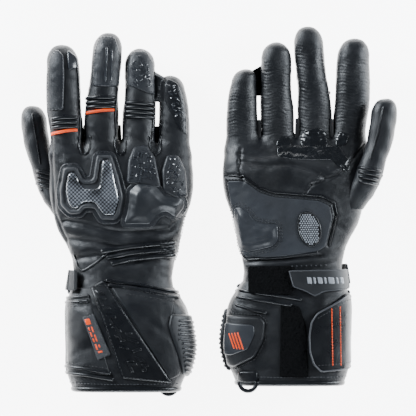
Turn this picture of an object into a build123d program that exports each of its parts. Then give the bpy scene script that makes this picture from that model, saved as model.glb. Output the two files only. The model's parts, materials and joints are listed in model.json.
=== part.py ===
"""A pair of leather riding gloves lying side by side, one palm down and one palm up.

Every piece is made once, in the glove's own frame: X across the hand with the thumb towards -X,
Y from the wrist crease to the fingertips, Z out of the back of the hand. Both gloves are then
placed in the pair's frame: origin under the middle of the pair, +Z up.
"""
from build123d import *
import os
from math import radians, sqrt, tan

os.makedirs("parts", exist_ok=True)

# ---- Driving dimensions, mm ------------------------------------------------------------------
WALL = 2.0             # leather, foam and lining together
PAD = 2.5              # a pad or slider stands this far out of the leather
LAYER = 2.0            # thickness of a strap or flap
LAYER_GAP = 0.5        # air under a strap or flap
PATCH = 1.2            # thickness of a loop patch
JOINT_GAP = 0.35       # half the gap between two finger sections
PALM_LEVEL = -20.5     # lowest point of the palm side
BACK_LEVEL = 30.0      # highest point of the back
KNUCKLE_LINE = 93.0    # where the fingers leave the hand
WRIST_LINE = -22.0     # where the cuff starts
SIDE_SEAM = 1.0        # height of the seam between back and palm
CUFF_SEAM = 6.0        # the same seam on the cuff
FINGER_FLEX = 50.0     # range of a finger at the hand, degrees
MIDDLE_FLEX = 70.0     # range of a finger at its middle joint
THUMB_FLEX = 35.0
BRIDGE_GAP = 1.8         # air between the bridge and the little finger, whose joints lie lower
THUMB_TIP_FLEX = 50.0
FLEX_MARGIN = 5.0      # degrees left in each notch at full flex
HALF_SPACING = 68.2    # glove centre to the middle of the pair
PALM_DOWN_Y = -44.0
PALM_UP_Y = -39.2

# Hand and cuff sections: y, thumb-side edge, outer edge, palm level, back level
HAND = [
    (WRIST_LINE, -40.0, 41.0, -17.5, 24.0),
    (-8, -38.5, 40.0, -17.5, 22.0),
    (8, -41.5, 42.5, -18.0, 20.0),
    (34, -53.0, 48.5, -18.0, 19.0),
    (56, -58.0, 55.0, -18.0, 19.0),
    (77, -57.0, 55.5, -17.0, 18.0),
    (KNUCKLE_LINE + 1, -57.0, 53.0, -10.0, 15.0),
]
CUFF = [
    (WRIST_LINE, -43.0, 45.0, -18.0, 27.0),
    (-32, -45.5, 51.0, -18.0, 29.0),
    (-48, -45.5, 54.0, -18.0, BACK_LEVEL),
    (-66, -45.0, 55.5, -18.0, BACK_LEVEL),
    (-84, -44.5, 52.0, -18.0, BACK_LEVEL),
    (-97.5, -40.0, 46.0, -18.0, 29.0),
]
STRAP_RUN = [(0, -41.0, 43.0, -18.0, 25.0), (-34, -46.5, 52.0, -18.0, 30.0)]
HAND_CORNER, CUFF_CORNER = 0.45, 0.36   # corner radius over section height
FINGER_CORNER = 0.88   # corner radius over half the section height

# Fingers: middle joint y, height of the centre line, half thickness,
# sections (y, x, half width), and the tip (y, x)
FINGERS = {
    "index": (113.6, 3.5, 10.8, [
        (91, -43.9, 12.2), (108, -44.7, 12.0), (123, -46.6, 13.3), (160, -47.8, 12.9)], (176.4, -48.8)),
    "middle": (129.6, 3.5, 11.0, [
        (91, -16.4, 13.4), (118, -16.9, 12.9), (150, -14.2, 11.8), (172, -12.2, 11.8)], (185.6, -11.0)),
    "ring": (124.0, 2.5, 10.6, [
        (91, 11.5, 12.6), (118, 13.0, 12.0), (147, 14.0, 11.5), (160, 14.0, 11.6)], (173.6, 13.6)),
    "little": (124.0, 1.0, 9.6, [
        (91, 40.1, 11.8), (115, 40.7, 11.2), (139, 40.0, 10.0)], (152.0, 38.2)),
}
# Thumb: centre line through the base joint, the upper joint and the tip
THUMB_Z = -11.5
THUMB_JOINT = (-58.5, 66.0)
THUMB_MID = (-67.4, 94.0)
THUMB_TIP = (-72.4, 128.0)
THUMB_HALF_WIDTH, THUMB_HALF_THICKNESS = 9.6, 9.0
THUMB_INWARD = 0.5     # share of the thumb's flex that goes across the palm

# Plan outlines of what is mounted on the glove: x, y
GUARD = [(-46, 80), (-35, 80), (-30, 69), (-23, 69), (-20, 89), (-8, 89), (-2, 72), (2, 55),
         (-1, 41), (-5, 36), (-17, 36), (-22, 46), (-30, 46), (-33, 41), (-42, 41), (-49, 48), (-50, 61)]
INSERT = [(-42.8, 71.2), (-44.8, 60.8), (-42.8, 49.6), (-40, 46), (-34.8, 45.2), (-30.4, 50.6),
          (-21.6, 50.6), (-14.8, 40), (-6.4, 40), (-1.6, 53.6), (-8.8, 84), (-16, 84.6),
          (-18, 64), (-20.8, 61.6), (-30.4, 61.6), (-37.4, 74)]
OUTER_GUARD = [(6, 60), (13, 67.5), (24, 67.5), (29, 62), (34, 56), (48, 55), (50, 48), (42, 38), (35, 44),
               (29, 42), (22, 33), (0, 33), (3, 42), (5, 52)]
RING_PAD = [(4, 70.5), (8, 86), (14, 90), (21, 88), (25, 79), (23, 70)]
LITTLE_PAD = [(35, 59), (36, 76), (41, 84), (46, 81), (50, 70), (49, 58)]
PALM_SLIDER = [(46, 40), (42, 42), (36, 38), (31, 31), (24, 29), (12.8, 29), (12.4, 17), (17, 11), (36, 7),
               (43, 10), (45, 25)]
MESH_PATCH = (-12.0, 25.0, 9.2, 14.0)   # centre x and y, half width, half length
GRIP_PATCH = [(13, 64), (13, 82), (-34, 82), (-35, 72), (-46, 66), (-40, 62), (-20, 66), (0, 64)]
CUFF_SLIDER = [(38, -38), (36, -47), (42, -62), (47, -84), (60, -88), (62, -60), (58, -38)]
CUFF_PAD = [(49, -44), (27, -45), (23, -49), (24, -64), (32, -77), (48, -84)]
CUFF_LOOP = [(10, -36), (12, -92), (-9, -92), (-9, -40)]
FLAP = [(-60, -26), (-46, -26), (-40, -33), (-17, -42), (-11.6, -58), (-11.6, -73), (-18, -88),
        (-22, -89.6), (-60, -85)]
STRAP = [(4.4, -8), (1.2, -21), (-17, -28.8), (-23, -25), (-60, -22.4), (-60, -7)]
WRIST_LOOP = [(37, -5), (36, -21.5), (6, -21.5), (8, -5)]
FLAP_HINGE_Z, STRAP_HINGE_Z = -4.0, -8.0


# ---- Forms shared by the pieces ----------------------------------------------------------------
def across(x, y, z):
    """A plane across the glove at one station, X across and its normal along the fingers."""
    return Plane(origin=(x, y, z), x_dir=(1, 0, 0), z_dir=(0, 1, 0))


def body_form(stations, corner, grow):
    """Solid through rounded sections, grown or shrunk all round."""
    with BuildPart() as form:
        for y, left, right, low, high in stations:
            with BuildSketch(across((left + right) / 2, y, (low + high) / 2)):
                height = high - low + 2 * grow
                RectangleRounded(right - left + 2 * grow, height, corner * height)
        loft()
    return form.part


def finger_form(sections, tip, z, half_thickness, grow):
    """Solid finger through rounded sections, closed by a rounded tip."""
    tip_y, tip_x = tip[0] + grow, tip[1]
    last_y, last_x, last_width = sections[-1]
    stations = [(y, x, half_width + grow, half_thickness + grow) for y, x, half_width in sections]
    for reach in (0.55, 0.9):
        shrink = sqrt(1 - reach**2)
        stations.append((last_y + (tip_y - last_y) * reach, last_x + (tip_x - last_x) * reach,
                         (last_width + grow) * shrink, (half_thickness + grow) * shrink))
    with BuildPart() as form:
        for y, x, half_width, half_height in stations:
            with BuildSketch(across(x, y, z)):
                RectangleRounded(2 * half_width, 2 * half_height, FINGER_CORNER * half_height)
        loft()
    return form.part


def thumb_sections():
    """Sections along the thumb's bent centre line, from inside the hand."""
    (x0, y0), (x1, y1), (x2, y2) = THUMB_JOINT, THUMB_MID, THUMB_TIP
    root = (y0 - 26, x0 + 6, THUMB_HALF_WIDTH - 1)
    neck = (y0, x0, THUMB_HALF_WIDTH)
    mid = (y1, x1, THUMB_HALF_WIDTH)
    upper = (y2 - 12, x2 + (x1 - x2) * 12 / (y2 - y1), THUMB_HALF_WIDTH)
    return [root, neck, mid, upper]


def thumb_form(grow):
    return finger_form(thumb_sections(), (THUMB_TIP[1], THUMB_TIP[0]), THUMB_Z, THUMB_HALF_THICKNESS, grow)


def prism(outline, low, high):
    """Upright block over a plan outline."""
    with BuildPart() as block:
        with BuildSketch(Plane.XY.offset(low)):
            Polygon(*outline, align=None)
        extrude(amount=high - low)
    return block.part


def flex_plane(position, along, bend):
    """Plane of a joint's motion: X to the back of the glove, Y along the finger."""
    axis = Vector(*along).cross(Vector(*bend))
    return Plane(origin=position, x_dir=Vector(*bend) * -1, z_dir=axis)


def notch(plane, flex, beyond):
    """Block that cuts a tube at a joint: what lies beyond it, or what lies before it, with half
    of the notch that lets the palm side close."""
    side = 1 if beyond else -1
    depth, reach = 45.0, 220.0
    slope = depth * tan(radians((flex + FLEX_MARGIN) / 2))
    with BuildPart() as block:
        with BuildSketch(plane):
            Polygon((depth, -side * JOINT_GAP), (0, -side * JOINT_GAP), (-depth, -side * (JOINT_GAP + slope)),
                    (-depth, side * reach), (depth, side * reach), align=None)
        extrude(amount=90, both=True)
    return block.part


def slab(low, high):
    """Wide block between two heights."""
    with BuildPart() as block:
        with BuildSketch(Plane.XY.offset(low)):
            Rectangle(400, 600)
        extrude(amount=high - low)
    return block.part


# ---- Joints ------------------------------------------------------------------------------------
STRAIGHT, DOWN = (0, 1, 0), (0, 0, -1)
THUMB_BEND = (THUMB_INWARD, 0, -sqrt(1 - THUMB_INWARD**2))


def thumb_plane(start, end, position):
    """Motion plane of a thumb joint: the bend direction squared to the thumb's own line."""
    along = Vector(end[0] - start[0], end[1] - start[1], 0).normalized()
    bend = Vector(*THUMB_BEND)
    bend = (bend - along * bend.dot(along)).normalized()
    return flex_plane((*position, THUMB_Z), tuple(along), tuple(bend))


HAND_PLANES = {
    name: flex_plane((sections[0][1], KNUCKLE_LINE, z), STRAIGHT, DOWN)
    for name, (_, z, _, sections, _) in FINGERS.items()
}
MIDDLE_PLANES = {
    name: flex_plane((sections[1][1], mid_y, z), STRAIGHT, DOWN)
    for name, (mid_y, z, _, sections, _) in FINGERS.items()
}
THUMB_BASE_PLANE = thumb_plane(THUMB_JOINT, THUMB_MID, THUMB_JOINT)
THUMB_MID_PLANE = thumb_plane(THUMB_MID, THUMB_TIP, THUMB_MID)

hand_outer = body_form(HAND, HAND_CORNER, 0)
hand_inner = body_form(HAND, HAND_CORNER, -WALL)
hand_padded = body_form(HAND, HAND_CORNER, PAD)
hand_patched = body_form(HAND, HAND_CORNER, PATCH)
cuff_outer = body_form(CUFF, CUFF_CORNER, 0)
cuff_inner = body_form(CUFF, CUFF_CORNER, -WALL)
cuff_padded = body_form(CUFF, CUFF_CORNER, PAD)
cuff_patched = body_form(CUFF, CUFF_CORNER, PATCH)
thumb_outer = thumb_form(0)
thumb_inner = thumb_form(-WALL)
pieces = {}


# ---- Hand: back panel and palm panel -------------------------------------------------------------
def knuckle_front():
    """What the hand shell loses in front, where the fingers start."""
    middle_of_fingers = (0, KNUCKLE_LINE, FINGERS["ring"][1])
    return notch(flex_plane(middle_of_fingers, STRAIGHT, DOWN), FINGER_FLEX, beyond=True)


def thumb_relief():
    """Room for the thumb beside the palm, at rest and through its flex."""
    with BuildPart() as moving:
        add(thumb_form(0.6))
        add(notch(THUMB_BASE_PLANE, 0, beyond=False), mode=Mode.SUBTRACT)
    axis = Axis(THUMB_BASE_PLANE.origin, THUMB_BASE_PLANE.z_dir)
    with BuildPart() as room:
        for turn in (0, 0.5, 1):
            add(moving.part.rotate(axis, THUMB_FLEX * turn))
    return room.part


def back_panel():
    front, relief, below = knuckle_front(), thumb_relief(), slab(-60, SIDE_SEAM)
    with BuildPart() as panel:
        add(hand_outer)
        add(hand_inner, mode=Mode.SUBTRACT)
        add(front, mode=Mode.SUBTRACT)
        add(below, mode=Mode.SUBTRACT)
        add(relief, mode=Mode.SUBTRACT)
    return panel.part


def palm_panel():
    front, relief, above = knuckle_front(), thumb_relief(), slab(SIDE_SEAM, 60)
    stub_end = notch(THUMB_BASE_PLANE, THUMB_FLEX, beyond=True)
    with BuildPart() as stub:
        add(thumb_outer)
        add(stub_end, mode=Mode.SUBTRACT)
    with BuildPart() as panel:
        add(hand_outer)
        add(relief, mode=Mode.SUBTRACT)
        add(stub.part)
        add(hand_inner, mode=Mode.SUBTRACT)
        add(thumb_inner, mode=Mode.SUBTRACT)
        add(front, mode=Mode.SUBTRACT)
        add(above, mode=Mode.SUBTRACT)
    return panel.part


pieces["back_panel"] = back_panel()
pieces["palm_panel"] = palm_panel()


# ---- Fingers and thumb -----------------------------------------------------------------------------
def tube_section(outer, inner, cuts):
    with BuildPart() as section:
        add(outer)
        add(inner, mode=Mode.SUBTRACT)
        for cut in cuts:
            add(cut, mode=Mode.SUBTRACT)
    return section.part


for finger, (_, height, thickness, stations, end) in FINGERS.items():
    outer = finger_form(stations, end, height, thickness, 0)
    inner = finger_form(stations, end, height, thickness, -WALL)
    pieces[finger + "_base"] = tube_section(outer, inner, [
        notch(HAND_PLANES[finger], FINGER_FLEX, beyond=False),
        notch(MIDDLE_PLANES[finger], MIDDLE_FLEX, beyond=True)])
    pieces[finger + "_tip"] = tube_section(
        outer, inner, [notch(MIDDLE_PLANES[finger], MIDDLE_FLEX, beyond=False)])

pieces["thumb_base"] = tube_section(thumb_outer, thumb_inner, [
    notch(THUMB_BASE_PLANE, THUMB_FLEX, beyond=False),
    notch(THUMB_MID_PLANE, THUMB_TIP_FLEX, beyond=True)])
pieces["thumb_tip"] = tube_section(
    thumb_outer, thumb_inner, [notch(THUMB_MID_PLANE, THUMB_TIP_FLEX, beyond=False)])


def finger_bridge():
    """Leather bridge sewn between the ring and little fingers."""
    _, ring_z, ring_thickness, ring_sections, ring_tip = FINGERS["ring"]
    _, little_z, little_thickness, little_sections, little_tip = FINGERS["little"]
    ring = finger_form(ring_sections, ring_tip, ring_z, ring_thickness, 0)
    little = finger_form(little_sections, little_tip, little_z, little_thickness, BRIDGE_GAP)
    with BuildPart() as bridge:
        with BuildSketch(Plane.XY.offset(-2)):
            with Locations((27.5, 137)):
                RectangleRounded(9, 15, 2)
        extrude(amount=7)
        add(ring, mode=Mode.SUBTRACT)
        add(little, mode=Mode.SUBTRACT)
    return bridge.part


pieces["finger_bridge"] = finger_bridge()


# ---- Hard parts on the back of the hand --------------------------------------------------------------
def guard_block(outline, low, high, edge):
    """Moulded block over an outline, with its upper edge bevelled, seated on the leather."""
    block = prism(outline, low, high)
    with BuildPart() as guard:
        add(block)
        chamfer(guard.faces().sort_by(Axis.Z)[-1].edges(), edge)
        add(hand_outer, mode=Mode.SUBTRACT)
    return guard.part


def knuckle_guard():
    base = guard_block(GUARD, 8, BACK_LEVEL, 1.0)
    insert = prism(INSERT, BACK_LEVEL - 2, BACK_LEVEL + 1)
    with BuildPart() as guard:
        add(base)
        add(insert, mode=Mode.SUBTRACT)
    return guard.part


def skin_piece(skin, under, outline, low, high):
    """Part of a skin over the leather, inside a plan outline and between two heights."""
    block = prism(outline, low, high)
    with BuildPart() as piece:
        add(skin)
        add(under, mode=Mode.SUBTRACT)
        add(block, mode=Mode.INTERSECT)
    return piece.part


pieces["knuckle_guard"] = knuckle_guard()
pieces["carbon_insert"] = prism(INSERT, BACK_LEVEL - 2, BACK_LEVEL)
pieces["outer_guard"] = guard_block(OUTER_GUARD, 10, BACK_LEVEL - 1, 2.0)


def knuckle_pads():
    """The ring and little knuckle pads, two separate solids."""
    blocks = [prism(RING_PAD, 5, 40), prism(LITTLE_PAD, 2, 40)]
    with BuildPart() as pads:
        for block in blocks:
            add(block)
        add(hand_padded, mode=Mode.INTERSECT)
        add(hand_outer, mode=Mode.SUBTRACT)
    return pads.part


pieces["knuckle_pads"] = knuckle_pads()

# ---- Palm side of the hand -----------------------------------------------------------------------------
pieces["palm_slider"] = skin_piece(hand_padded, hand_outer, PALM_SLIDER, -40, -2)
pieces["grip_patch"] = skin_piece(hand_padded, hand_outer, GRIP_PATCH, -40, -6)


def mesh_patch():
    """Oval reinforced patch on the heel of the hand."""
    x, y, half_width, half_length = MESH_PATCH
    with BuildPart() as patch:
        with BuildSketch(Plane.XY.offset(-40)):
            with Locations((x, y)):
                Ellipse(half_width, half_length)
        extrude(amount=36)
        add(hand_patched, mode=Mode.INTERSECT)
        add(hand_outer, mode=Mode.SUBTRACT)
    return patch.part


pieces["mesh_patch"] = mesh_patch()
pieces["wrist_loop"] = skin_piece(hand_patched, hand_outer, WRIST_LOOP, -40, -2)


# ---- Wrist strap and its keeper --------------------------------------------------------------------------
def strap_keeper():
    """Webbing loop round the thumb side of the wrist, where the strap is sewn in."""
    outline = [(-36, -2), (-36, -20), (-60, -20), (-60, -2)]
    return skin_piece(hand_padded, hand_outer, outline, STRAP_HINGE_Z + 0.8, 24)


def layer_over(stations, corner, outline, hinge_z):
    """A strap or flap: a layer that lies just off the glove and ends at its hinge."""
    over = body_form(stations, corner, LAYER_GAP + LAYER)
    under = body_form(stations, corner, LAYER_GAP)
    return skin_piece(over, under, outline, -40, hinge_z)


pieces["strap_keeper"] = strap_keeper()
pieces["wrist_strap"] = layer_over(STRAP_RUN, CUFF_CORNER, STRAP, STRAP_HINGE_Z)


# ---- Cuff ------------------------------------------------------------------------------------------------
def cuff_half(low, high):
    half = slab(low, high)
    with BuildPart() as shell:
        add(cuff_outer)
        add(cuff_inner, mode=Mode.SUBTRACT)
        add(half, mode=Mode.INTERSECT)
    return shell.part


pieces["cuff_back"] = cuff_half(CUFF_SEAM, 60)
pieces["cuff_front"] = cuff_half(-60, CUFF_SEAM)
pieces["cuff_slider"] = skin_piece(cuff_padded, cuff_outer, CUFF_SLIDER, CUFF_SEAM, 24)
pieces["cuff_pad"] = skin_piece(cuff_padded, cuff_outer, CUFF_PAD, -40, CUFF_SEAM - 2)
pieces["cuff_loop"] = skin_piece(cuff_patched, cuff_outer, CUFF_LOOP, -40, 0)
pieces["cuff_flap"] = layer_over(CUFF, CUFF_CORNER, FLAP, FLAP_HINGE_Z)


def pull_tab():
    """Webbing tab sewn inside the hem of the cuff."""
    with BuildPart() as tab:
        with BuildSketch(Plane.XY.offset(-16)):
            with Locations((35, -95)):
                RectangleRounded(14, 15, 2)
        extrude(amount=2.2)
        add(pieces["cuff_front"], mode=Mode.SUBTRACT)
    return tab.part


pieces["pull_tab"] = pull_tab()

# ---- The two gloves ------------------------------------------------------------------------------------------
PLACES = {
    "palm_down": Location((-HALF_SPACING, PALM_DOWN_Y, -PALM_LEVEL)),
    "palm_up": Location((HALF_SPACING, PALM_UP_Y, BACK_LEVEL), (0, 180, 0)),
}
for glove, place in PLACES.items():
    for name, piece in pieces.items():
        placed = place * piece
        placed.label = f"{glove}_{name}"
        export_step(placed, f"parts/{placed.label}.step")
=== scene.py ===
"""The visual model of a pair of leather riding gloves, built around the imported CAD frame.

One glove is modelled in its own frame, in millimetres: X across the hand with the thumb at -X, Y along
the fingers, Z out of the back of the hand. Each piece is then placed twice, palm down and palm up.
"""
import json
import math

import bpy
import numpy as np
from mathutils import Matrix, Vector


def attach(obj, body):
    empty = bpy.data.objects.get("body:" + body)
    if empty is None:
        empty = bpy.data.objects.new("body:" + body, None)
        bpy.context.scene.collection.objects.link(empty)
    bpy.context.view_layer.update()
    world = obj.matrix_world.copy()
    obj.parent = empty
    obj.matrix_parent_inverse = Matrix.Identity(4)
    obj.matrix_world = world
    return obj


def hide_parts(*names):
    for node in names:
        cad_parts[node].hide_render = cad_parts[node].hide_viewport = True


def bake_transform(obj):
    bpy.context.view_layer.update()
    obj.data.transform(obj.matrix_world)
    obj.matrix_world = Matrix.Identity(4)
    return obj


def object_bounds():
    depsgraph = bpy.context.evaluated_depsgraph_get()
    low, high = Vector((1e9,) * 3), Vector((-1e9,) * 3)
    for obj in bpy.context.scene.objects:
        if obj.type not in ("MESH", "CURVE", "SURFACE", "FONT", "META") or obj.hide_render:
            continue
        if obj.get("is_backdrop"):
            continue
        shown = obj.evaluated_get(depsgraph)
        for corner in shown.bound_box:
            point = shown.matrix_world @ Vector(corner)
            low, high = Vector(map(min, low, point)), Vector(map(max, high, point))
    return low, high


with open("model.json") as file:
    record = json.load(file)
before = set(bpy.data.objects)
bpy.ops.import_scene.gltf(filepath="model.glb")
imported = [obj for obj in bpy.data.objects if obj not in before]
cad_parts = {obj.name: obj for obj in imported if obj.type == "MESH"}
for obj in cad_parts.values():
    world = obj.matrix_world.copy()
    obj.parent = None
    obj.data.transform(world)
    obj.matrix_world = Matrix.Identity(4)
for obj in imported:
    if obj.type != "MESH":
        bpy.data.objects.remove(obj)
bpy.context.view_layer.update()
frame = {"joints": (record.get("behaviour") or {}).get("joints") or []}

import openvdb
from mathutils import Matrix, Vector
from mathutils.bvhtree import BVHTree
from mathutils.geometry import delaunay_2d_cdt

MM = 0.001
TINY = 1e-9     # keeps a division from failing where a direction has no length
GLOVES = ("palm_down", "palm_up")
JOINTS = {joint["name"]: joint for joint in frame["joints"]}
FINGER_NAMES = ("index", "middle", "ring", "little")


# ---- From the glove's own frame to the pair's frame ----
ANCHOR = (-16.4, 93.0, 3.5)   # the middle finger's knuckle joint in the glove's own frame
FLIP = np.diag([-1.0, 1.0, -1.0])


def turn_of(glove):
    return np.eye(3) if glove == "palm_down" else FLIP


def origin_of(glove):
    joint = np.array(JOINTS[f"{glove}_middle_knuckle"]["pos_m"]) / MM
    return joint - turn_of(glove) @ np.array(ANCHOR)


def to_row(glove, points):
    """Points of the glove's own frame, mm, as points of the pair's frame, m."""
    return (np.asarray(points, float) @ turn_of(glove).T + origin_of(glove)) * MM


def own_joint(name):
    """Where a joint lies in the glove's own frame, mm."""
    joint = np.array(JOINTS[f"palm_down_{name}"]["pos_m"]) / MM
    return joint - origin_of("palm_down")


# ---- Forms: smooth sections along the glove ----
def curve(t, knots, values):
    """Smooth curve through values at knots."""
    knots, values = np.asarray(knots, float), np.asarray(values, float)
    t = np.clip(t, knots[0], knots[-1])
    i = np.clip(np.searchsorted(knots, t) - 1, 0, len(knots) - 2)
    slope = np.gradient(values, knots)
    step = knots[i + 1] - knots[i]
    u = (t - knots[i]) / step
    return ((1 + 2 * u) * (1 - u) ** 2 * values[i] + u * (1 - u) ** 2 * step * slope[i]
            + u * u * (3 - 2 * u) * values[i + 1] + u * u * (u - 1) * step * slope[i + 1])


def smooth(t):
    t = np.clip(t, 0, 1)
    return t * t * (3 - 2 * t)


def smooth_min(a, b, k):
    h = np.maximum(k - np.abs(a - b), 0) / k
    return np.minimum(a, b) - h * h * k / 4


# Sections: y, thumb-side edge, outer edge, palm level, back level
HAND_ROWS = [
    (-40, -40.0, 41.0, -17.0, 24.0), (-22, -40.0, 41.0, -17.2, 24.0), (-8, -38.5, 40.0, -17.2, 21.5),
    (8, -41.5, 42.5, -17.4, 19.5), (34, -53.0, 48.5, -17.8, 19.0), (56, -58.5, 55.5, -17.8, 19.0),
    (77, -58.0, 56.0, -16.5, 17.5), (92, -57.0, 53.0, -9.0, 14.0),
]
CUFF_ROWS = [
    (-17, -40.3, 41.2, -17.6, 23.9), (-24, -43.3, 45.5, -17.9, 27.0), (-34, -45.5, 51.0, -17.9, 29.0),
    (-48, -45.5, 54.0, -17.9, 29.8), (-66, -45.0, 56.0, -17.9, 29.8), (-84, -44.5, 52.0, -17.9, 29.8),
    (-97.5, -40.0, 46.0, -17.9, 29.0),
]
# Fingers: height of the centre line, half thickness, sections (y, x, half width), tip (y, x)
FINGERS = {
    "index": (3.5, 10.9, [(70, -40, 11), (91, -43.7, 13.0), (108, -44.9, 13.4), (123, -46.9, 13.9),
                          (140, -47.3, 13.9), (160, -47.8, 13.2)], (176.8, -48.8)),
    "middle": (3.5, 11.0, [(70, -15, 12), (91, -16.4, 13.4), (118, -16.9, 13.4), (134, -16.0, 12.8),
                           (150, -14.2, 11.9), (170, -12.2, 12.0)], (186.2, -11.0)),
    "ring": (2.5, 10.6, [(70, 10, 11), (91, 11.9, 13.2), (118, 13.2, 13.1), (147, 14.0, 12.0),
                         (159, 14.0, 12.0)], (174.0, 13.6)),
    "little": (1.0, 9.8, [(70, 36, 11), (91, 39.8, 12.5), (115, 41.0, 12.2), (134, 40.6, 11.0),
                          (141, 39.8, 10.0)], (152.6, 37.8)),
}
THUMB_LEVEL, THUMB_HALF_WIDTH, THUMB_HALF_THICKNESS = -11.0, 10.3, 9.6
WRIST_LINE = -24.0     # the hand's skin ends inside the cuff here
FLEX_START, FLEX_END = -2.0, 10.0   # where a finger starts and stops to bend, from its knuckle joint
MIDDLE_FLEX = 8.0      # half the length that bends at a middle joint
HAND_POWER, FINGER_POWER = 2.7, 2.25   # how square the sections are; 2 is an ellipse
FINGER_ROOT = 72       # the fingers' own forms start here, inside the hand
WEB = 5.0              # rounding between the hand and the fingers
VOXEL = 0.9
RELAX_ROUNDS = 4


def side_rows(rows):
    """Sections as centre and half size: y, x, z, half width, half thickness."""
    return [(y, (a + b) / 2, (low + high) / 2, (b - a) / 2, (high - low) / 2) for y, a, b, low, high in rows]


def form(grid, rows, power, end_y=None, end_reach=None):
    """Signed distance, nearly, to a form through (y, x, z, half width, half thickness) sections,
    rounded off past end_y over end_reach."""
    x, y, z = grid
    keys = [row[0] for row in rows]
    centre_x, centre_z, half_x, half_z = (curve(y, keys, [row[i] for row in rows]) for i in (1, 2, 3, 4))
    total = np.abs((x - centre_x) / half_x) ** power + np.abs((z - centre_z) / half_z) ** power
    if end_y is not None:
        total = total + (np.maximum(y - end_y, 0) / end_reach) ** power
    return (total ** (1 / power) - 1) * np.minimum(half_x, half_z)


def finger_rows(name):
    level, half_thickness, sections, tip = FINGERS[name]
    rows = [(y, x, level, half_width, half_thickness) for y, x, half_width in sections]
    last_y = sections[-1][0]
    rows.append((tip[0], tip[1], level - 1.5, sections[-1][2], half_thickness))
    return rows, last_y, tip[0] - last_y


def lattice(low, high):
    """Grid axes of a box, shaped so that they broadcast."""
    axes = [np.arange(a, b, VOXEL) for a, b in zip(low, high)]
    return (axes[0][:, None, None], axes[1][None, :, None], axes[2][None, None, :])


def surface_of(values, low):
    """The zero surface of a grid of distances: points in mm, and quads."""
    grid = openvdb.FloatGrid(background=5.0)
    grid.copyFromArray(np.ascontiguousarray(values, np.float32))
    points, quads = grid.convertToQuads(isovalue=0.0)
    points = np.asarray(points, float) * VOXEL + np.array(low)
    return points, np.asarray(quads, int)


def make_mesh(name, points, faces):
    mesh = bpy.data.meshes.new(name)
    mesh.from_pydata([tuple(p) for p in points], [], [tuple(int(i) for i in f) for f in faces])
    mesh.update()
    return mesh


def mesh_normals(points, faces):
    """Smooth outward normals of quads or triangles."""
    mesh = make_mesh("scratch", points, faces)
    normals = np.zeros(len(points) * 3)
    mesh.vertices.foreach_get("normal", normals)
    bpy.data.meshes.remove(mesh)
    return normals.reshape(-1, 3)


def relax(points, faces):
    """Evens out the steps of the grid, keeping the size."""
    edges = np.vstack([faces[:, [i, (i + 1) % 4]] for i in range(4)])
    count = np.bincount(edges.ravel(), minlength=len(points))[:, None]
    for _ in range(RELAX_ROUNDS):
        for factor in (0.5, -0.52):
            total = np.zeros_like(points)
            np.add.at(total, edges[:, 0], points[edges[:, 1]])
            np.add.at(total, edges[:, 1], points[edges[:, 0]])
            points = points + factor * (total / count - points)
    return points


def line_distance(points, line):
    """Distance in plan from points to a polyline, and how far along it the nearest place is."""
    line = np.asarray(line, float)
    best = np.full(len(points), 1e9)
    along = np.zeros(len(points))
    done = 0.0
    for a, b in zip(line[:-1], line[1:]):
        step = b - a
        length = np.hypot(*step)
        t = np.clip(((points[:, :2] - a) @ step) / (length * length), 0, 1)
        d = np.hypot(*(points[:, :2] - a - t[:, None] * step).T)
        nearer = d < best
        best = np.where(nearer, d, best)
        along = np.where(nearer, done + t * length, along)
        done += length
    return best, along


def ripples(points, scale, seed):
    """Smooth uneven values from -1 to 1 over the surface, the same each run."""
    rng = np.random.default_rng(seed)
    total = np.zeros(len(points))
    for _ in range(7):
        direction = rng.normal(size=3)
        direction *= rng.uniform(0.6, 1.7) / (scale * np.linalg.norm(direction))
        bend = rng.normal(size=3) / (3 * scale)
        phase = rng.uniform(0, 6.28)
        total += np.sin(6.28 * (points @ direction) + phase + 1.5 * np.sin(6.28 * (points @ bend)))
    return total / 3.2


# ---- The leather of the hand and fingers ----
# Seams and folds: side (1 back, -1 palm), polyline in plan, half width, depth
CREASES = [
    (1, [(-57, 104), (-56, 84), (-55, 62), (-54, 44), (-47, 28), (-41, 8), (-39, -20)], 1.0, 0.9),
    (1, [(-46, 36), (-30, 34), (-14, 29), (0, 27), (20, 28), (38, 30), (48, 40)], 2.6, 1.6),
    (1, [(-42, 22), (-20, 19), (0, 13), (24, 15), (42, 20)], 3.2, 1.5),
    (1, [(-39, 6), (-20, 9), (4, 2), (30, 6), (41, 4)], 3.0, 1.3),
    (1, [(-10, 10), (10, 4), (34, 12)], 2.2, 1.0),
    (-1, [(54, 67), (40, 66), (27, 57), (16, 53), (-22, 50), (-31, 45), (-33, 36), (-27, 12)], 1.0, 1.0),
    (-1, [(-8, 52), (-14, 60)], 1.0, 0.8),
    (-1, [(-56, 92), (-48, 82), (-36, 69), (-25, 64), (-14, 60)], 1.1, 1.1),
    (-1, [(42, 88), (43, 72), (40, 62)], 1.0, 0.8),
    (-1, [(44, 84), (26, 82), (8, 86), (-10, 84)], 2.0, 0.8),
    (-1, [(42, 78), (22, 75), (4, 77), (-14, 72), (-24, 66)], 2.4, 1.3),
    (-1, [(38, 2), (20, 0), (0, 1), (-22, 4)], 2.0, 0.9),
    (-1, [(42, 3), (38, -2), (6, 0.8), (-20, 4)], 1.0, 0.9),
]


def creased(points, normals):
    """Leather with its seams and folds pressed in, slack between them and fine wrinkles."""
    push = 0.35 * ripples(points, 30, 11) + 0.1 * ripples(points, 9, 12)
    for side, line, half_width, depth in CREASES:
        facing = smooth(normals[:, 2] * side * 2.2 + 0.2)
        near, _ = line_distance(points, line)
        wide = half_width * 2.6
        swelling = 0.35 * np.exp(-((near - wide) / wide) ** 2)
        push += facing * depth * (swelling - np.exp(-((near / half_width) ** 2)))
    return points + normals * push[:, None]


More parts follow.
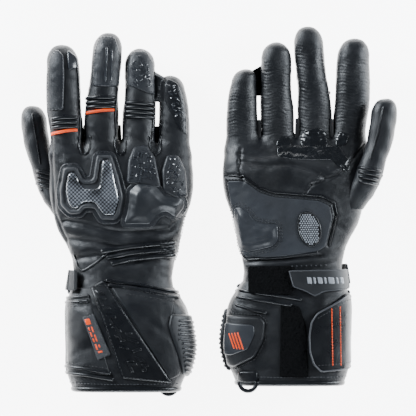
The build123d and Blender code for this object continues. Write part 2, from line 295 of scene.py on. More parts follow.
def finger_wrinkles(points, normals, name):
    """Fine crosswise stretch wrinkles on the palm side of a finger."""
    level, _, sections, tip = FINGERS[name]
    y = points[:, 1]
    palm = smooth(-normals[:, 2] * 1.6 + 0.1) * smooth((y - 94) / 8) * smooth((tip[0] - 12 - y) / 8)
    wave = np.sin(2 * math.pi * (y + 0.9 * np.sin(points[:, 0] / 2.7) + 0.5 * ripples(points, 11, 21)) / 2.4)
    return points + normals * (palm * (0.2 * wave + 0.05))[:, None]


SKIN_LOW, SKIN_HIGH = (-64, -30, -22), (62, 190, 24)
grid = lattice(SKIN_LOW, SKIN_HIGH)
hand_distance = form(grid, side_rows(HAND_ROWS), HAND_POWER, 86, 12)
finger_distances = []
for name in FINGER_NAMES:
    rows, end_y, reach = finger_rows(name)
    finger_distances.append(np.maximum(form(grid, rows, FINGER_POWER, end_y, reach), FINGER_ROOT - grid[1]))
together = np.minimum.reduce(finger_distances)
skin_values = np.maximum(smooth_min(hand_distance, together, WEB), WRIST_LINE - 4 - grid[1])
skin_points, skin_faces = surface_of(skin_values, SKIN_LOW)
skin_points = relax(skin_points, skin_faces)
keep = (skin_points[skin_faces][:, :, 1] > WRIST_LINE).all(1)
skin_faces = skin_faces[keep]
skin_normals = mesh_normals(skin_points, skin_faces)
skin_points = creased(skin_points, skin_normals)


def finger_at(points):
    """Index of the finger whose centre line is nearest."""
    gaps = []
    for name in FINGER_NAMES:
        rows, _, _ = finger_rows(name)
        centre = curve(points[:, 1], [r[0] for r in rows], [r[1] for r in rows])
        half = curve(points[:, 1], [r[0] for r in rows], [r[3] for r in rows])
        beyond = np.maximum(points[:, 1] - rows[-1][0], 0)
        gaps.append(np.abs(points[:, 0] - centre) - half + beyond * 3)
    return np.argmin(gaps, axis=0)


on_finger = finger_at(skin_points)
for i, name in enumerate(FINGER_NAMES):
    mine = (on_finger == i) & (skin_points[:, 1] > 90)
    skin_points[mine] = finger_wrinkles(skin_points[mine], skin_normals[mine], name)
skin_normals = mesh_normals(skin_points, skin_faces)

# The thumb, whose root runs into the palm
thumb_joint, thumb_middle = own_joint("thumb_knuckle"), own_joint("thumb_middle_joint")
THUMB_TIP = np.array([-72.9, 128.4, THUMB_LEVEL])
THUMB_LOW, THUMB_HIGH = (-88, 34, -24), (-34, 132, 4)


def thumb_rows():
    """Sections of the thumb from inside the palm to its tip."""
    width, thickness = THUMB_HALF_WIDTH, THUMB_HALF_THICKNESS
    rows = [(40, -46, -6, 9, 7), (54, -53.5, -8.5, 11, 9.2)]
    rows.append((thumb_joint[1], thumb_joint[0] - 0.4, THUMB_LEVEL, width + 0.8, thickness))
    rows.append((80, -63.6, THUMB_LEVEL, width, thickness))
    rows.append((thumb_middle[1], thumb_middle[0] - 0.8, THUMB_LEVEL, width, thickness))
    rows.append((106, -70.2, THUMB_LEVEL, width + 0.1, thickness))
    rows.append((116, -71.6, THUMB_LEVEL, width, thickness))
    rows.append((THUMB_TIP[1], THUMB_TIP[0], THUMB_LEVEL - 1, width, thickness))
    return rows


thumb_grid = lattice(THUMB_LOW, THUMB_HIGH)
thumb_values = form(thumb_grid, thumb_rows(), FINGER_POWER, 116, 12.6)
thumb_values = np.maximum(thumb_values, 40 - thumb_grid[1])
thumb_points, thumb_faces = surface_of(thumb_values, THUMB_LOW)
thumb_points = relax(thumb_points, thumb_faces)
thumb_normals = mesh_normals(thumb_points, thumb_faces)
thumb_points += thumb_normals * (0.25 * ripples(thumb_points, 16, 31))[:, None]
thumb_normals = mesh_normals(thumb_points, thumb_faces)


# ---- The cuff: outer leather, a rolled hem and the lining ----
CUFF_WALL = 2.4
AROUND = 240          # points of one loop
OUTER_RINGS = 110     # loops down the outside of the cuff
CUFF_SECTIONS = sorted(side_rows(CUFF_ROWS))


def ring(rows, y, offset, power=3.0):
    """One loop of points round a form at y, offset outwards."""
    keys = [row[0] for row in rows]
    x0, z0, half_x, half_z = (curve(y, keys, [row[i] for row in rows]) for i in (1, 2, 3, 4))
    angle = np.linspace(0, 2 * math.pi, AROUND, endpoint=False)
    c, s = np.cos(angle), np.sin(angle)
    x = x0 + (half_x + offset) * np.sign(c) * np.abs(c) ** (2 / power)
    z = z0 + (half_z + offset) * np.sign(s) * np.abs(s) ** (2 / power)
    return np.stack([x, np.full(AROUND, y), z], 1)


def quads_over(count, around, closed):
    """Quads over a run of loops with the same number of points; closed joins the last to the first."""
    faces = []
    for i in range(count if closed else count - 1):
        here, there = i * around, (i + 1) % count * around
        for k in range(around):
            m = (k + 1) % around
            faces.append((here + k, here + m, there + m, there + k))
    return faces


def cuff_shell():
    """The cuff's leather: down the outside, round the hem and up the inside."""
    top, hem = CUFF_ROWS[0][0], CUFF_ROWS[-1][0]
    rings = [ring(CUFF_SECTIONS, y, 0.0) for y in np.linspace(top, hem, OUTER_RINGS)]
    rings += [ring(CUFF_SECTIONS, hem, -CUFF_WALL / 2) + np.array([0, -0.9, 0])]
    rings += [ring(CUFF_SECTIONS, y, -CUFF_WALL) for y in np.linspace(hem, top - 2, 40)]
    return np.vstack(rings), np.array(quads_over(len(rings), AROUND, True))


CUFF_FOLDS = [
    (1, [(-30, -30), (-10, -40), (8, -62)], 3.0, 0.8), (1, [(10, -34), (30, -50), (44, -60)], 3.4, 0.7),
    (-1, [(44, -34), (20, -36), (0, -40)], 2.6, 0.6), (1, [(-44, -60), (-30, -66), (-12, -60)], 4.0, 0.5),
]
cuff_points, cuff_faces = cuff_shell()
cuff_normals = mesh_normals(cuff_points, cuff_faces)
if (cuff_normals[: AROUND // 2] * (cuff_points[: AROUND // 2] - cuff_points[:AROUND].mean(0))).sum() < 0:
    cuff_faces = cuff_faces[:, ::-1]
    cuff_normals = -cuff_normals
cuff_push = 0.4 * ripples(cuff_points, 34, 41) + 0.12 * ripples(cuff_points, 10, 42)
for side, line, half_width, depth in CUFF_FOLDS:
    near, _ = line_distance(cuff_points, line)
    cuff_push -= smooth(cuff_normals[:, 2] * side * 2) * depth * np.exp(-((near / half_width) ** 2))
cuff_fade = smooth((-18.5 - cuff_points[:, 1]) / 6)
outward = np.where(np.arange(len(cuff_points)) < OUTER_RINGS * AROUND, 1.0, -1.0)[:, None] * cuff_normals
cuff_points = cuff_points + outward * (cuff_push * cuff_fade)[:, None]


# ---- Surfaces to lay pieces on ----
class Surface:
    """A skin that patches, seams and stitches are laid on."""

    def __init__(self, points, faces):
        self.points, self.faces = points, faces
        self.normals = mesh_normals(points, faces)
        polygons = [tuple(int(i) for i in face) for face in faces]
        self.tree = BVHTree.FromPolygons([Vector(p) for p in points], polygons)

    def smooth_normal(self, hit, index):
        corners = self.faces[index]
        weight = 1 / (np.linalg.norm(self.points[corners] - hit, axis=1) + 0.05)
        normal = (self.normals[corners] * weight[:, None]).sum(0)
        return normal / (np.linalg.norm(normal) + TINY)

    def drop(self, plan, side):
        """Points and normals on the back (side 1) or palm (side -1) below plan points. A point off
        the edge of the skin takes the nearest place on it."""
        places, normals = np.zeros((len(plan), 3)), np.zeros((len(plan), 3))
        for i, (x, y) in enumerate(plan):
            hit, _, index, _ = self.tree.ray_cast(Vector((x, y, 60.0 * side)), Vector((0, 0, -side)))
            if hit is None:
                hit, _, index, _ = self.tree.find_nearest(Vector((x, y, 4.0)))
            places[i] = hit
            normals[i] = self.smooth_normal(places[i], index)
        return places, normals


skin = Surface(skin_points, skin_faces)
thumb = Surface(thumb_points, thumb_faces)
cuff = Surface(cuff_points, cuff_faces)


# ---- Mesh tools: patches, tubes and stitches ----
def rounded(outline, radius=2.4):
    """A closed outline with its corners rounded."""
    points = np.asarray(outline, float)
    result = []
    for before, corner, after in zip(np.roll(points, 1, axis=0), points, np.roll(points, -1, axis=0)):
        back, ahead = before - corner, after - corner
        back_length, ahead_length = np.hypot(*back), np.hypot(*ahead)
        start = corner + back / back_length * min(radius, 0.45 * back_length)
        end = corner + ahead / ahead_length * min(radius, 0.45 * ahead_length)
        for t in np.linspace(0, 1, 6):
            result.append((1 - t) ** 2 * start + 2 * t * (1 - t) * corner + t * t * end)
    return np.array(result)


def resampled(line, spacing, closed):
    """Even points along a line."""
    line = np.asarray(line, float)
    if closed:
        line = np.vstack([line, line[:1]])
    steps = np.linalg.norm(np.diff(line, axis=0), axis=1)
    along = np.concatenate([[0], np.cumsum(steps)])
    count = max(int(round(along[-1] / spacing)), 2)
    marks = np.linspace(0, along[-1], count + 1)
    if closed:
        marks = marks[:-1]
    return np.stack([np.interp(marks, along, line[:, i]) for i in range(line.shape[1])], 1)


def edge_distance(points, outline):
    loop = np.vstack([outline, outline[:1]])
    return line_distance(points, loop)[0]


def inside(points, outline):
    """Whether plan points lie inside a closed outline."""
    x, y = points[:, 0][:, None], points[:, 1][:, None]
    a, b = outline, np.roll(outline, -1, axis=0)
    crosses = (a[:, 1] > y) != (b[:, 1] > y)
    with np.errstate(divide="ignore", invalid="ignore"):
        at = a[:, 0] + (y - a[:, 1]) * (b[:, 0] - a[:, 0]) / (b[:, 1] - a[:, 1])
    return (crosses & (x < at)).sum(1) % 2 == 1


def inward_of(edge):
    """Directions square to a closed outline, into it."""
    tangent = np.roll(edge, -1, axis=0) - np.roll(edge, 1, axis=0)
    tangent /= np.linalg.norm(tangent, axis=1)[:, None] + TINY
    inward = np.stack([-tangent[:, 1], tangent[:, 0]], 1)
    return inward if inside(edge[:1] + inward[:1] * 0.2, edge)[0] else -inward


def staggered(outline, pitch):
    """Points of a staggered grid inside a closed outline."""
    low, high = outline.min(0), outline.max(0)
    xs, ys = np.meshgrid(np.arange(low[0], high[0], pitch), np.arange(low[1], high[1], pitch * 0.866))
    xs = xs + (np.arange(len(ys)) % 2)[:, None] * pitch / 2
    points = np.stack([xs.ravel(), ys.ravel()], 1)
    return points[inside(points, outline)]


def fill(outline, spacing, rings=(0.35, 0.8, 1.4)):
    """Plan points and triangles over an outline, dense near its edge, with each point's distance
    from the edge."""
    edge = resampled(outline, min(spacing, 1.0), True)
    inward = inward_of(edge)
    clouds = [edge]
    for depth in rings:
        row = edge + inward * depth
        ok = (edge_distance(row, edge) > depth * 0.93) & inside(row, edge)
        clouds.append(row[ok])
    middle = staggered(edge, spacing)
    middle = middle[edge_distance(middle, edge) > rings[-1] + spacing * 0.45]
    clouds.append(middle)
    cloud = np.vstack(clouds)
    loop = [(i, (i + 1) % len(edge)) for i in range(len(edge))]
    out = delaunay_2d_cdt([Vector(p) for p in cloud], loop, [], 1, 1e-5)
    plan = np.array([tuple(p) for p in out[0]])
    triangles = np.array([f for f in out[2] if len(f) == 3])
    return plan, triangles, edge_distance(plan, edge)


def with_skirt(points, triangles, below):
    """Closes a patch's edge down to points a little under the skin."""
    sides = {}
    for triangle in triangles:
        for i in range(3):
            a, b = int(triangle[i]), int(triangle[(i + 1) % 3])
            if (b, a) in sides:
                del sides[(b, a)]
            else:
                sides[(a, b)] = True
    used = sorted({a for a, _ in sides} | {b for _, b in sides})
    place = {v: len(points) + i for i, v in enumerate(used)}
    skirt = [(b, a, place[a], place[b]) for a, b in sides]
    return np.vstack([points, below[used]]), [tuple(t) for t in triangles] + skirt


def patch(surface, outline, side, height, spacing=1.3, sink=0.5, level=None, wall=1.0, soft=None):
    """A piece laid on a surface over a plan outline. height is a number, reached over `wall` from the
    edge, or a function of plan points and edge distance, measured off the skin; level is the top's own
    height instead. soft is the radius of the outline's corners, 0 for none."""
    outline = np.asarray(outline, float) if soft == 0 else rounded(outline, soft or 2.4)
    plan, triangles, depth = fill(outline, spacing)
    places, normals = surface.drop(plan, side)
    if level is None:
        lift = height if callable(height) else raised(height, wall)
        points = places + normals * lift(plan, depth)[:, None]
    else:
        share = dome(depth, wall)
        points = places.copy()
        points[:, 2] += (level * side - places[:, 2]) * share
        points += normals * 0.15
    below = places - normals * sink
    if side < 0:
        triangles = triangles[:, ::-1]
    return with_skirt(points, triangles, below)


def dome(depth, wall):
    """Height share over an edge: quarter round, then flat."""
    t = np.clip(depth / wall, 0, 1)
    return np.sqrt(np.maximum(1 - (1 - t) ** 2, 0)) * 0.88 + 0.12


def raised(height, wall, base=0.0):
    """Heights for a patch: base at the edge, and height more over a rounded wall."""
    return lambda plan, depth: base + height * dome(depth, wall)


def tube(path, normals, radius, sides=8, flat=1.0, closed=False):
    """A round or flattened welt along a path on a surface."""
    path = np.asarray(path, float)
    if closed:
        tangent = np.roll(path, -1, axis=0) - np.roll(path, 1, axis=0)
    else:
        tangent = np.gradient(path, axis=0)
    tangent /= np.linalg.norm(tangent, axis=1)[:, None] + TINY
    across = np.cross(normals, tangent)
    across /= np.linalg.norm(across, axis=1)[:, None] + TINY
    up = np.cross(tangent, across)
    angle = np.linspace(0, 2 * math.pi, sides, endpoint=False)
    count = len(path)
    radius = np.broadcast_to(radius, (count,))[:, None, None]
    points = (path[:, None, :] + radius * np.cos(angle)[None, :, None] * across[:, None, :]
              + radius * flat * np.sin(angle)[None, :, None] * up[:, None, :]).reshape(-1, 3)
    faces = [(b, a, d, c) for a, b, c, d in quads_over(count, sides, closed)]
    if not closed:
        faces.append(tuple(range(sides)))
        faces.append(tuple(reversed(range((count - 1) * sides, count * sides))))
    return points, faces


def welt(surface, line, side, radius, lift=0.3, flat=1.0, closed=False, spacing=1.0):
    """A welt or piping along a plan line on a surface."""
    plan = resampled(line, spacing, closed)
    places, normals = surface.drop(plan, side)
    return tube(places + normals * lift, normals, radius, flat=flat, closed=closed)


def stitches(surface, line, side, closed=False, pitch=2.6, length=1.7, radius=0.28, lift=0.22,
             over=0.0):
    """Single stitches along a plan line: short rounded bars that dip at both ends."""
    plan = resampled(line, pitch, closed)
    ahead = np.roll(plan, -1, axis=0) if closed else np.vstack([plan[1:], 2 * plan[-1:] - plan[-2:-1]])
    direction = ahead - plan
    direction /= np.linalg.norm(direction, axis=1)[:, None] + TINY
    paths, outs = [], []
    for t in (-1, -0.6, 0, 0.6, 1):
        places, normals = surface.drop(plan + direction * length / 2 * t, side)
        paths.append(places + normals * (lift * (1 - t * t) + over - 0.05))
        outs.append(normals)
    widths = radius * np.array([0.5, 1, 1, 1, 0.5])
    return [tube(path, out, widths, sides=6) for path, out in zip(np.stack(paths, 1), np.stack(outs, 1))]


def seams(surface, lines, side, closed=False, **more):
    """Stitches along several lines."""
    return [stitch for line in lines for stitch in stitches(surface, line, side, closed, **more)]


def joined(shapes):
    """Several shapes, each of points and faces, as one."""
    points, faces, base = [], [], 0
    for p, f in shapes:
        points.append(p)
        faces += [tuple(int(v) + base for v in face) for face in f]
        base += len(p)
    return np.vstack(points), faces


# ---- Placing a piece on both gloves ----
def place(name, points, faces, material, slot, follow, replaces=(), normals=None, padded=None, sharp=None):
    """One piece on each glove. follow is a body, named without the glove, that the piece is attached to; a
    (body, body, start, end) across a joint, in the glove's own frame, leaves the piece attached to neither."""
    for glove in GLOVES:
        mesh = make_mesh(f"{glove}_{name}", to_row(glove, points), faces)
        mesh.shade_smooth()
        if sharp is not None:
            mesh.set_sharp_from_angle(angle=math.radians(sharp))
        if normals is not None:
            mesh.normals_split_custom_set_from_vertices([tuple(n) for n in normals @ turn_of(glove).T])
        mesh.materials.append(material)
        piece = bpy.data.objects.new(f"{glove}_{name}", mesh)
        bpy.context.scene.collection.objects.link(piece)
        if isinstance(follow, str):
            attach(piece, f"{glove}_{follow}")
        else:
            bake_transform(piece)
        if replaces:
            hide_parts(*[f"{glove}_{node}" for node in replaces])


def knuckle_bend(name):
    """The hand, a finger's base and the stretch round its knuckle joint, given as a piece's follow."""
    joint = own_joint(f"{name}_knuckle")
    start, end = joint + np.array([0, FLEX_START, 0]), joint + np.array([0, FLEX_END, 0])
    return ("hand", f"{name}_base", start, end)


def middle_bend(name):
    """A finger's base and tip bodies and the stretch round its middle joint, given as a piece's follow."""
    joint = own_joint(f"{name}_middle_joint")
    step = np.array([0, MIDDLE_FLEX, 0])
    return (f"{name}_base", f"{name}_tip", joint - step, joint + step)


THUMB_DIRECTION = (thumb_middle - thumb_joint) / np.linalg.norm(thumb_middle - thumb_joint)
THUMB_KNUCKLE_BEND = ("hand", "thumb_base", thumb_joint - 5 * THUMB_DIRECTION,
                      thumb_joint + 9 * THUMB_DIRECTION)
THUMB_MIDDLE_BEND = ("thumb_base", "thumb_tip", thumb_middle - 8 * THUMB_DIRECTION,
                     thumb_middle + 8 * THUMB_DIRECTION)


def part_of(points, faces, keep_faces):
    """The chosen faces with only their own points; also which points those are."""
    chosen = faces[keep_faces]
    used, packed = np.unique(chosen, return_inverse=True)
    return points[used], packed.reshape(chosen.shape), used


# ---- Materials ----
class Shader:
    """A principled material with a short way to add nodes."""

    def __init__(self, name, color, roughness, **sockets):
        self.material = bpy.data.materials.new(name)
        self.material.use_nodes = True
        self.nodes, self.links = self.material.node_tree.nodes, self.material.node_tree.links
        self.shader = self.nodes["Principled BSDF"]
        self.shader.inputs["Base Color"].default_value = (*color, 1)
        self.shader.inputs["Roughness"].default_value = roughness
        for key, value in sockets.items():
            self.shader.inputs[key.replace("_", " ")].default_value = value
        self.place = self.nodes.new("ShaderNodeTexCoord").outputs["Object"]

    def node(self, kind, inputs=None, **settings):
        node = self.nodes.new(kind)
        for key, value in settings.items():
            setattr(node, key, value)
        for key, value in (inputs or {}).items():
            socket = node.inputs[key]
            if isinstance(value, bpy.types.NodeSocket):
                self.links.new(value, socket)
            else:
                socket.default_value = value
        return node

    def noise(self, scale, detail=3.0, rough=0.55):
        inputs = {"Vector": self.place, "Scale": scale, "Detail": detail, "Roughness": rough}
        return self.node("ShaderNodeTexNoise", inputs).outputs["Fac"]

    def cells(self, scale):
        inputs = {"Vector": self.place, "Scale": scale}
        return self.node("ShaderNodeTexVoronoi", inputs, feature="DISTANCE_TO_EDGE").outputs["Distance"]

    def math(self, operation, a, b=0.0):
        return self.node("ShaderNodeMath", {0: a, 1: b, 2: 0.0}, operation=operation).outputs[0]

    def ramp(self, value, low, high, dark, light):
        """Colour from dark to light as a value runs from low to high."""
        node = self.node("ShaderNodeValToRGB", {"Fac": value})
        node.color_ramp.elements[0].position, node.color_ramp.elements[1].position = low, high
        node.color_ramp.elements[0].color, node.color_ramp.elements[1].color = (*dark, 1), (*light, 1)
        return node.outputs["Color"]

    def spread(self, value, low, high, to_low, to_high):
        """A value's run from low to high as one from to_low to to_high."""
        inputs = {"Value": value, "From Min": low, "From Max": high, "To Min": to_low, "To Max": to_high}
        return self.node("ShaderNodeMapRange", inputs).outputs["Result"]

    def color(self, socket):
        self.links.new(socket, self.shader.inputs["Base Color"])

    def roughness(self, socket):
        self.links.new(socket, self.shader.inputs["Roughness"])

    def bump(self, height, distance, strength=1.0):
        node = self.node("ShaderNodeBump", {"Height": height, "Distance": distance, "Strength": strength})
        self.links.new(node.outputs["Normal"], self.shader.inputs["Normal"])


def shade(color, factor):
    return tuple(c * factor for c in color)


def leather(name, color, roughness=0.42, grain=1500.0, depth=0.00012):
    """Grained leather: pebbles, finer noise, and broad variation of tone and gloss."""
    s = Shader(name, color, roughness, Specular_IOR_Level=0.4)
    pebbles, fine, broad = s.cells(grain), s.noise(grain * 1.7, 2.0), s.noise(26.0, 4.0, 0.6)
    s.color(s.ramp(broad, 0.3, 0.75, shade(color, 0.72), shade(color, 1.35)))
    s.roughness(s.spread(s.noise(70.0), 0.3, 0.7, roughness - 0.07, roughness + 0.12))
    pebble_height = s.spread(pebbles, 0.0, 0.35, 0.0, 1.0)
    s.bump(s.math("ADD", pebble_height, s.math("MULTIPLY", fine, 0.35)), depth, 0.45)
    return s.material


def moulded(name, color, roughness, grain=2600.0, depth=0.00003):
    """Moulded plastic or rubber with a fine texture and slight unevenness."""
    s = Shader(name, color, roughness)
    s.color(s.ramp(s.noise(45.0, 3.0), 0.3, 0.7, shade(color, 0.86), shade(color, 1.16)))
    s.roughness(s.spread(s.noise(120.0), 0.3, 0.7, roughness - 0.05, roughness + 0.06))
    s.bump(s.noise(grain, 1.5), depth, 0.8)
    return s.material


def carbon(name):
    """Clear-coated twill: bands of strands that pass over and under on the diagonal, brightened in broad
    random patches that paint glare highlights on the clear coat.
    """
    s = Shader(name, (0.05, 0.055, 0.06), 0.25, Coat_Weight=1.0, Coat_Roughness=0.05, Metallic=0.35)
    split = s.node("ShaderNodeSeparateXYZ", {"Vector": s.place})
    pitch = 640.0
    u = s.math("MULTIPLY", split.outputs["X"], pitch)
    v = s.math("MULTIPLY", split.outputs["Y"], pitch)
    step = s.math("ADD", s.math("FLOOR", u), s.math("FLOOR", v))
    turn = s.math("GREATER_THAN", s.math("MODULO", s.math("ADD", step, 4000.0), 2.0), 0.5)
    warp = s.math("ABSOLUTE", s.math("SUBTRACT", s.math("FRACT", u), 0.5))
    weft = s.math("ABSOLUTE", s.math("SUBTRACT", s.math("FRACT", v), 0.5))
    strands = {"Factor": turn, "A": warp, "B": weft}
    side = s.node("ShaderNodeMix", strands, data_type="FLOAT").outputs["Result"]
    crown = s.math("MULTIPLY", s.math("SUBTRACT", 0.5, side), 0.5)
    body = s.math("ADD", s.math("MULTIPLY", turn, 0.55), crown)
    # Painted highlight: broad random patches brighten the weave to stand in for glare on the clear coat.
    body = s.math("MULTIPLY", body, s.spread(s.noise(55.0, 1.0), 0.35, 0.65, 0.35, 1.5))
    s.color(s.ramp(body, 0.05, 0.8, (0.006, 0.0065, 0.0075), (0.2, 0.215, 0.24)))
    s.bump(s.math("SUBTRACT", 1.0, side), 0.00006, 0.5)
    return s.material


def pile(name, color):
    """Fuzzy loop pile of a hook-and-loop patch."""
    s = Shader(name, color, 0.95, Specular_IOR_Level=0.1)
    loops = s.noise(1500.0, 4.0, 0.8)
    s.color(s.ramp(loops, 0.35, 0.75, shade(color, 0.5), shade(color, 2.2)))
    s.bump(loops, 0.0007, 1.0)
    return s.material


def webbing(name, color):
    """Flat woven tape: fine ribs one way, strands the other."""
    s = Shader(name, color, 0.7)
    split = s.node("ShaderNodeSeparateXYZ", {"Vector": s.place})
    ribs = s.math("SINE", s.math("MULTIPLY", split.outputs["Y"], 7000.0))
    strands = s.math("SINE", s.math("MULTIPLY", split.outputs["X"], 9000.0))
    weave = s.math("MULTIPLY", ribs, s.math("ADD", s.math("MULTIPLY", strands, 0.4), 0.8))
    tone = s.math("ADD", s.math("MULTIPLY", weave, 0.3), 0.5)
    s.color(s.ramp(tone, 0.2, 0.9, shade(color, 0.55), shade(color, 1.6)))
    s.bump(weave, 0.00016, 1.0)
    return s.material


BLACK = (0.0052, 0.0060, 0.0076)
MATERIALS = {
    "leather": leather("black_leather", BLACK),
    "smooth_leather": leather("smooth_leather", (0.0045, 0.0052, 0.0066), 0.3, 2300.0, 0.00005),
    "panel_leather": leather("panel_leather", (0.0115, 0.013, 0.016), 0.4, 1300.0, 0.00014),
    "heel_leather": leather("heel_leather", (0.019, 0.0215, 0.026), 0.5, 1700.0, 0.00006),
    "orange": leather("orange_trim", (0.75, 0.062, 0.001), 0.5, 2500.0, 0.00004),
    "thread": moulded("black_thread", (0.009, 0.010, 0.012), 0.5),
    "grey_thread": moulded("grey_thread", (0.03, 0.032, 0.037), 0.5),
    "guard": moulded("matte_guard", (0.018, 0.0195, 0.0225), 0.5),
    "satin": moulded("satin_moulding", (0.012, 0.0137, 0.0165), 0.4),
    "slider": moulded("palm_moulding", (0.018, 0.0205, 0.025), 0.4),
    "rubber": moulded("rubber", (0.0068, 0.0078, 0.0095), 0.5),
    "gloss": moulded("gloss_pattern", (0.02, 0.022, 0.026), 0.2),
    "grip": moulded("grip_print", (0.005, 0.006, 0.0075), 0.26),
    "silver": moulded("mesh_print", (0.22, 0.235, 0.26), 0.35),
    "carbon": carbon("carbon_weave"),
    "pile": pile("loop_pile", (0.0018, 0.0019, 0.0022)),
    "webbing": webbing("webbing", (0.012, 0.013, 0.015)),
    "label": webbing("woven_label", (0.022, 0.024, 0.028)),
    "lining": webbing("lining", (0.01, 0.011, 0.012)),
    "black": moulded("deep_black", (0.008, 0.008, 0.009), 0.6),
}


# The slot that each look usually fills; every leather and thread fills black_leather
SLOTS = {
    "orange": "orange_trim", "guard": "matte_guard", "satin": "cuff_moulding", "slider": "strap_moulding",
    "rubber": "strap_moulding", "gloss": "gloss_pattern", "grip": "grip_print", "silver": "mesh_print",
    "carbon": "carbon_weave", "pile": "loop_fabric", "webbing": "webbing", "label": "webbing",
    "lining": "webbing",
}


def add(name, shape, look, follow="hand", slot=None, **more):
    """A piece of one shape or a list of them, in a look's material; the slot worked out for it, unless
    another is given its look's usual one, is passed on but not used."""
    points, faces = joined(shape) if isinstance(shape, list) else shape
    place(name, points, faces, MATERIALS[look], slot or SLOTS.get(look, "black_leather"), follow, **more)


# ---- Leather of the hand, fingers, thumb and cuff ----
def skin_pieces():
    centres = skin_points[skin_faces].mean(1)
    which = finger_at(centres)
    line = own_joint("index_knuckle")[1] + FLEX_START
    on_hand = centres[:, 1] <= line
    points, faces, used = part_of(skin_points, skin_faces, on_hand)
    add("hand_leather", (points, faces), "leather", normals=skin_normals[used],
        replaces=("back_panel", "palm_panel"))
    for i, name in enumerate(FINGER_NAMES):
        knuckle, middle = own_joint(f"{name}_knuckle")[1], own_joint(f"{name}_middle_joint")[1]
        split = (knuckle + FLEX_END + middle - MIDDLE_FLEX) / 2
        for part, chosen, bend in (
                ("lower", centres[:, 1] <= split, knuckle_bend(name)),
                ("upper", centres[:, 1] > split, middle_bend(name))):
            points, faces, used = part_of(skin_points, skin_faces, ~on_hand & (which == i) & chosen)
            add(f"{name}_{part}_leather", (points, faces), "leather", bend, normals=skin_normals[used],
                replaces=(f"{name}_base" if part == "lower" else f"{name}_tip",))


def thumb_pieces():
    centres = thumb_points[thumb_faces].mean(1)
    along = (centres - thumb_joint) @ THUMB_DIRECTION
    for part, chosen, bend, node in (
            ("lower", along <= 15, THUMB_KNUCKLE_BEND, "thumb_base"),
            ("upper", along > 15, THUMB_MIDDLE_BEND, "thumb_tip")):
        points, faces, used = part_of(thumb_points, thumb_faces, chosen)
        add(f"thumb_{part}_leather", (points, faces), "leather", bend, normals=thumb_normals[used],
            replaces=(node,))


def lining():
    """Fabric inside the cuff and wrist, closed where the hand's own room begins."""
    rings = [ring(CUFF_SECTIONS, y, -CUFF_WALL - 0.3) for y in np.linspace(-95, -30, 30)]
    rings += [ring(side_rows(HAND_ROWS), y, -1.8, HAND_POWER) for y in np.linspace(-20, 40, 30)]
    centre = rings[-1].mean(0)
    rings += [centre + (rings[-1] - centre) * k + np.array([0, 6 * (1 - k), 0]) for k in (0.8, 0.5, 0.2)]
    points = np.vstack(rings)
    points += np.array([0, 0, 1]) * (0.3 * ripples(points, 18, 51))[:, None]
    faces = [tuple(reversed(f)) for f in quads_over(len(rings), AROUND, False)]
    faces.append(tuple(range(len(points) - AROUND, len(points))))
    return points, faces


skin_pieces()
thumb_pieces()
add("cuff_leather", (cuff_points, cuff_faces), "leather", replaces=("cuff_back", "cuff_front"))
add("lining", lining(), "lining")


# ---- More ways to lay things down ----
class Wrap:
    """A smooth run of sections that a layer is bent round. A plan point's x is the distance walked round
    the section from x 0, so that pieces keep their width round the side."""

    def __init__(self, rows, offset, power=3.0):
        self.rows, self.offset, self.power = sorted(side_rows(rows)), offset, power

    def drop(self, plan, side):
        start, step = (AROUND // 4, -1) if side > 0 else (3 * AROUND // 4, 1)
        order = (start + step * np.arange(-AROUND // 2 + 4, AROUND // 2 - 3)) % AROUND
        middle = AROUND // 2 - 4
        keys = [row[0] for row in self.rows]
        places, normals = np.zeros((len(plan), 3)), np.zeros((len(plan), 3))
        loops = {}
        for i, (x, y) in enumerate(plan):
            key = round(float(y), 1)
            if key not in loops:
                loop = ring(self.rows, key, self.offset, self.power)[order]
                along = np.concatenate([[0], np.cumsum(np.linalg.norm(np.diff(loop, axis=0), axis=1))])
                centre = float(curve(np.array([key]), keys, [row[1] for row in self.rows])[0])
                tangent = np.gradient(loop, axis=0)
                out = np.stack([-tangent[:, 2], np.zeros(len(loop)), tangent[:, 0]], 1) * side
                out /= np.linalg.norm(out, axis=1)[:, None] + TINY
                loops[key] = loop, along - along[middle] + centre, out
            loop, along, out = loops[key]
            places[i] = [np.interp(x, along, loop[:, a]) for a in range(3)]
            places[i][1] = y
            normals[i] = [np.interp(x, along, out[:, a]) for a in range(3)]
        return places, normals / (np.linalg.norm(normals, axis=1)[:, None] + TINY)


class Tapered(Wrap):
    """A wrap that sinks towards its hinge edge, where it is sewn down."""

    def __init__(self, rows, offset, start, length, depth):
        super().__init__(rows, offset)
        self.start, self.length, self.depth = start, length, depth

    def drop(self, plan, side):
        places, normals = super().drop(plan, side)
        sunk = self.depth * smooth((self.start - np.asarray(plan)[:, 0]) / self.length)
        return places - normals * sunk[:, None], normals


def dots(surface, centres, side, radius, lift, sides=8, deep=0.5, turn=0.0):
    """Small flat-topped studs, or holes' floors, on a surface; dark discs as holes' floors paint the shade
    inside the holes.
    """
    places, normals = surface.drop(np.asarray(centres, float), side)
    points, faces = [], []
    angle = np.linspace(0, 2 * math.pi, sides, endpoint=False) + turn
    for p, n in zip(places, normals):
        u = np.cross(n, [0, 1, 0])
        u /= np.linalg.norm(u) + TINY
        v = np.cross(n, u)
        circle = np.cos(angle)[:, None] * u + np.sin(angle)[:, None] * v
        base = len(points) * (3 * sides)
        points.append(np.vstack([p - n * deep + circle * radius, p + n * (lift - 0.08) + circle * radius,
                                 p + n * lift + circle * radius * 0.75]))
        for k in range(sides):
            m = (k + 1) % sides
            faces.append((base + m, base + k, base + sides + k, base + sides + m))
            faces.append((base + sides + m, base + sides + k, base + 2 * sides + k, base + 2 * sides + m))
        faces.append(tuple(base + 2 * sides + k for k in reversed(range(sides))))
    return np.vstack(points), faces


def honeycomb(outline, pitch, margin):
    """Centres of a staggered grid inside an outline and clear of its edge."""
    centres = staggered(outline, pitch)
    return centres[edge_distance(centres, outline) > margin]


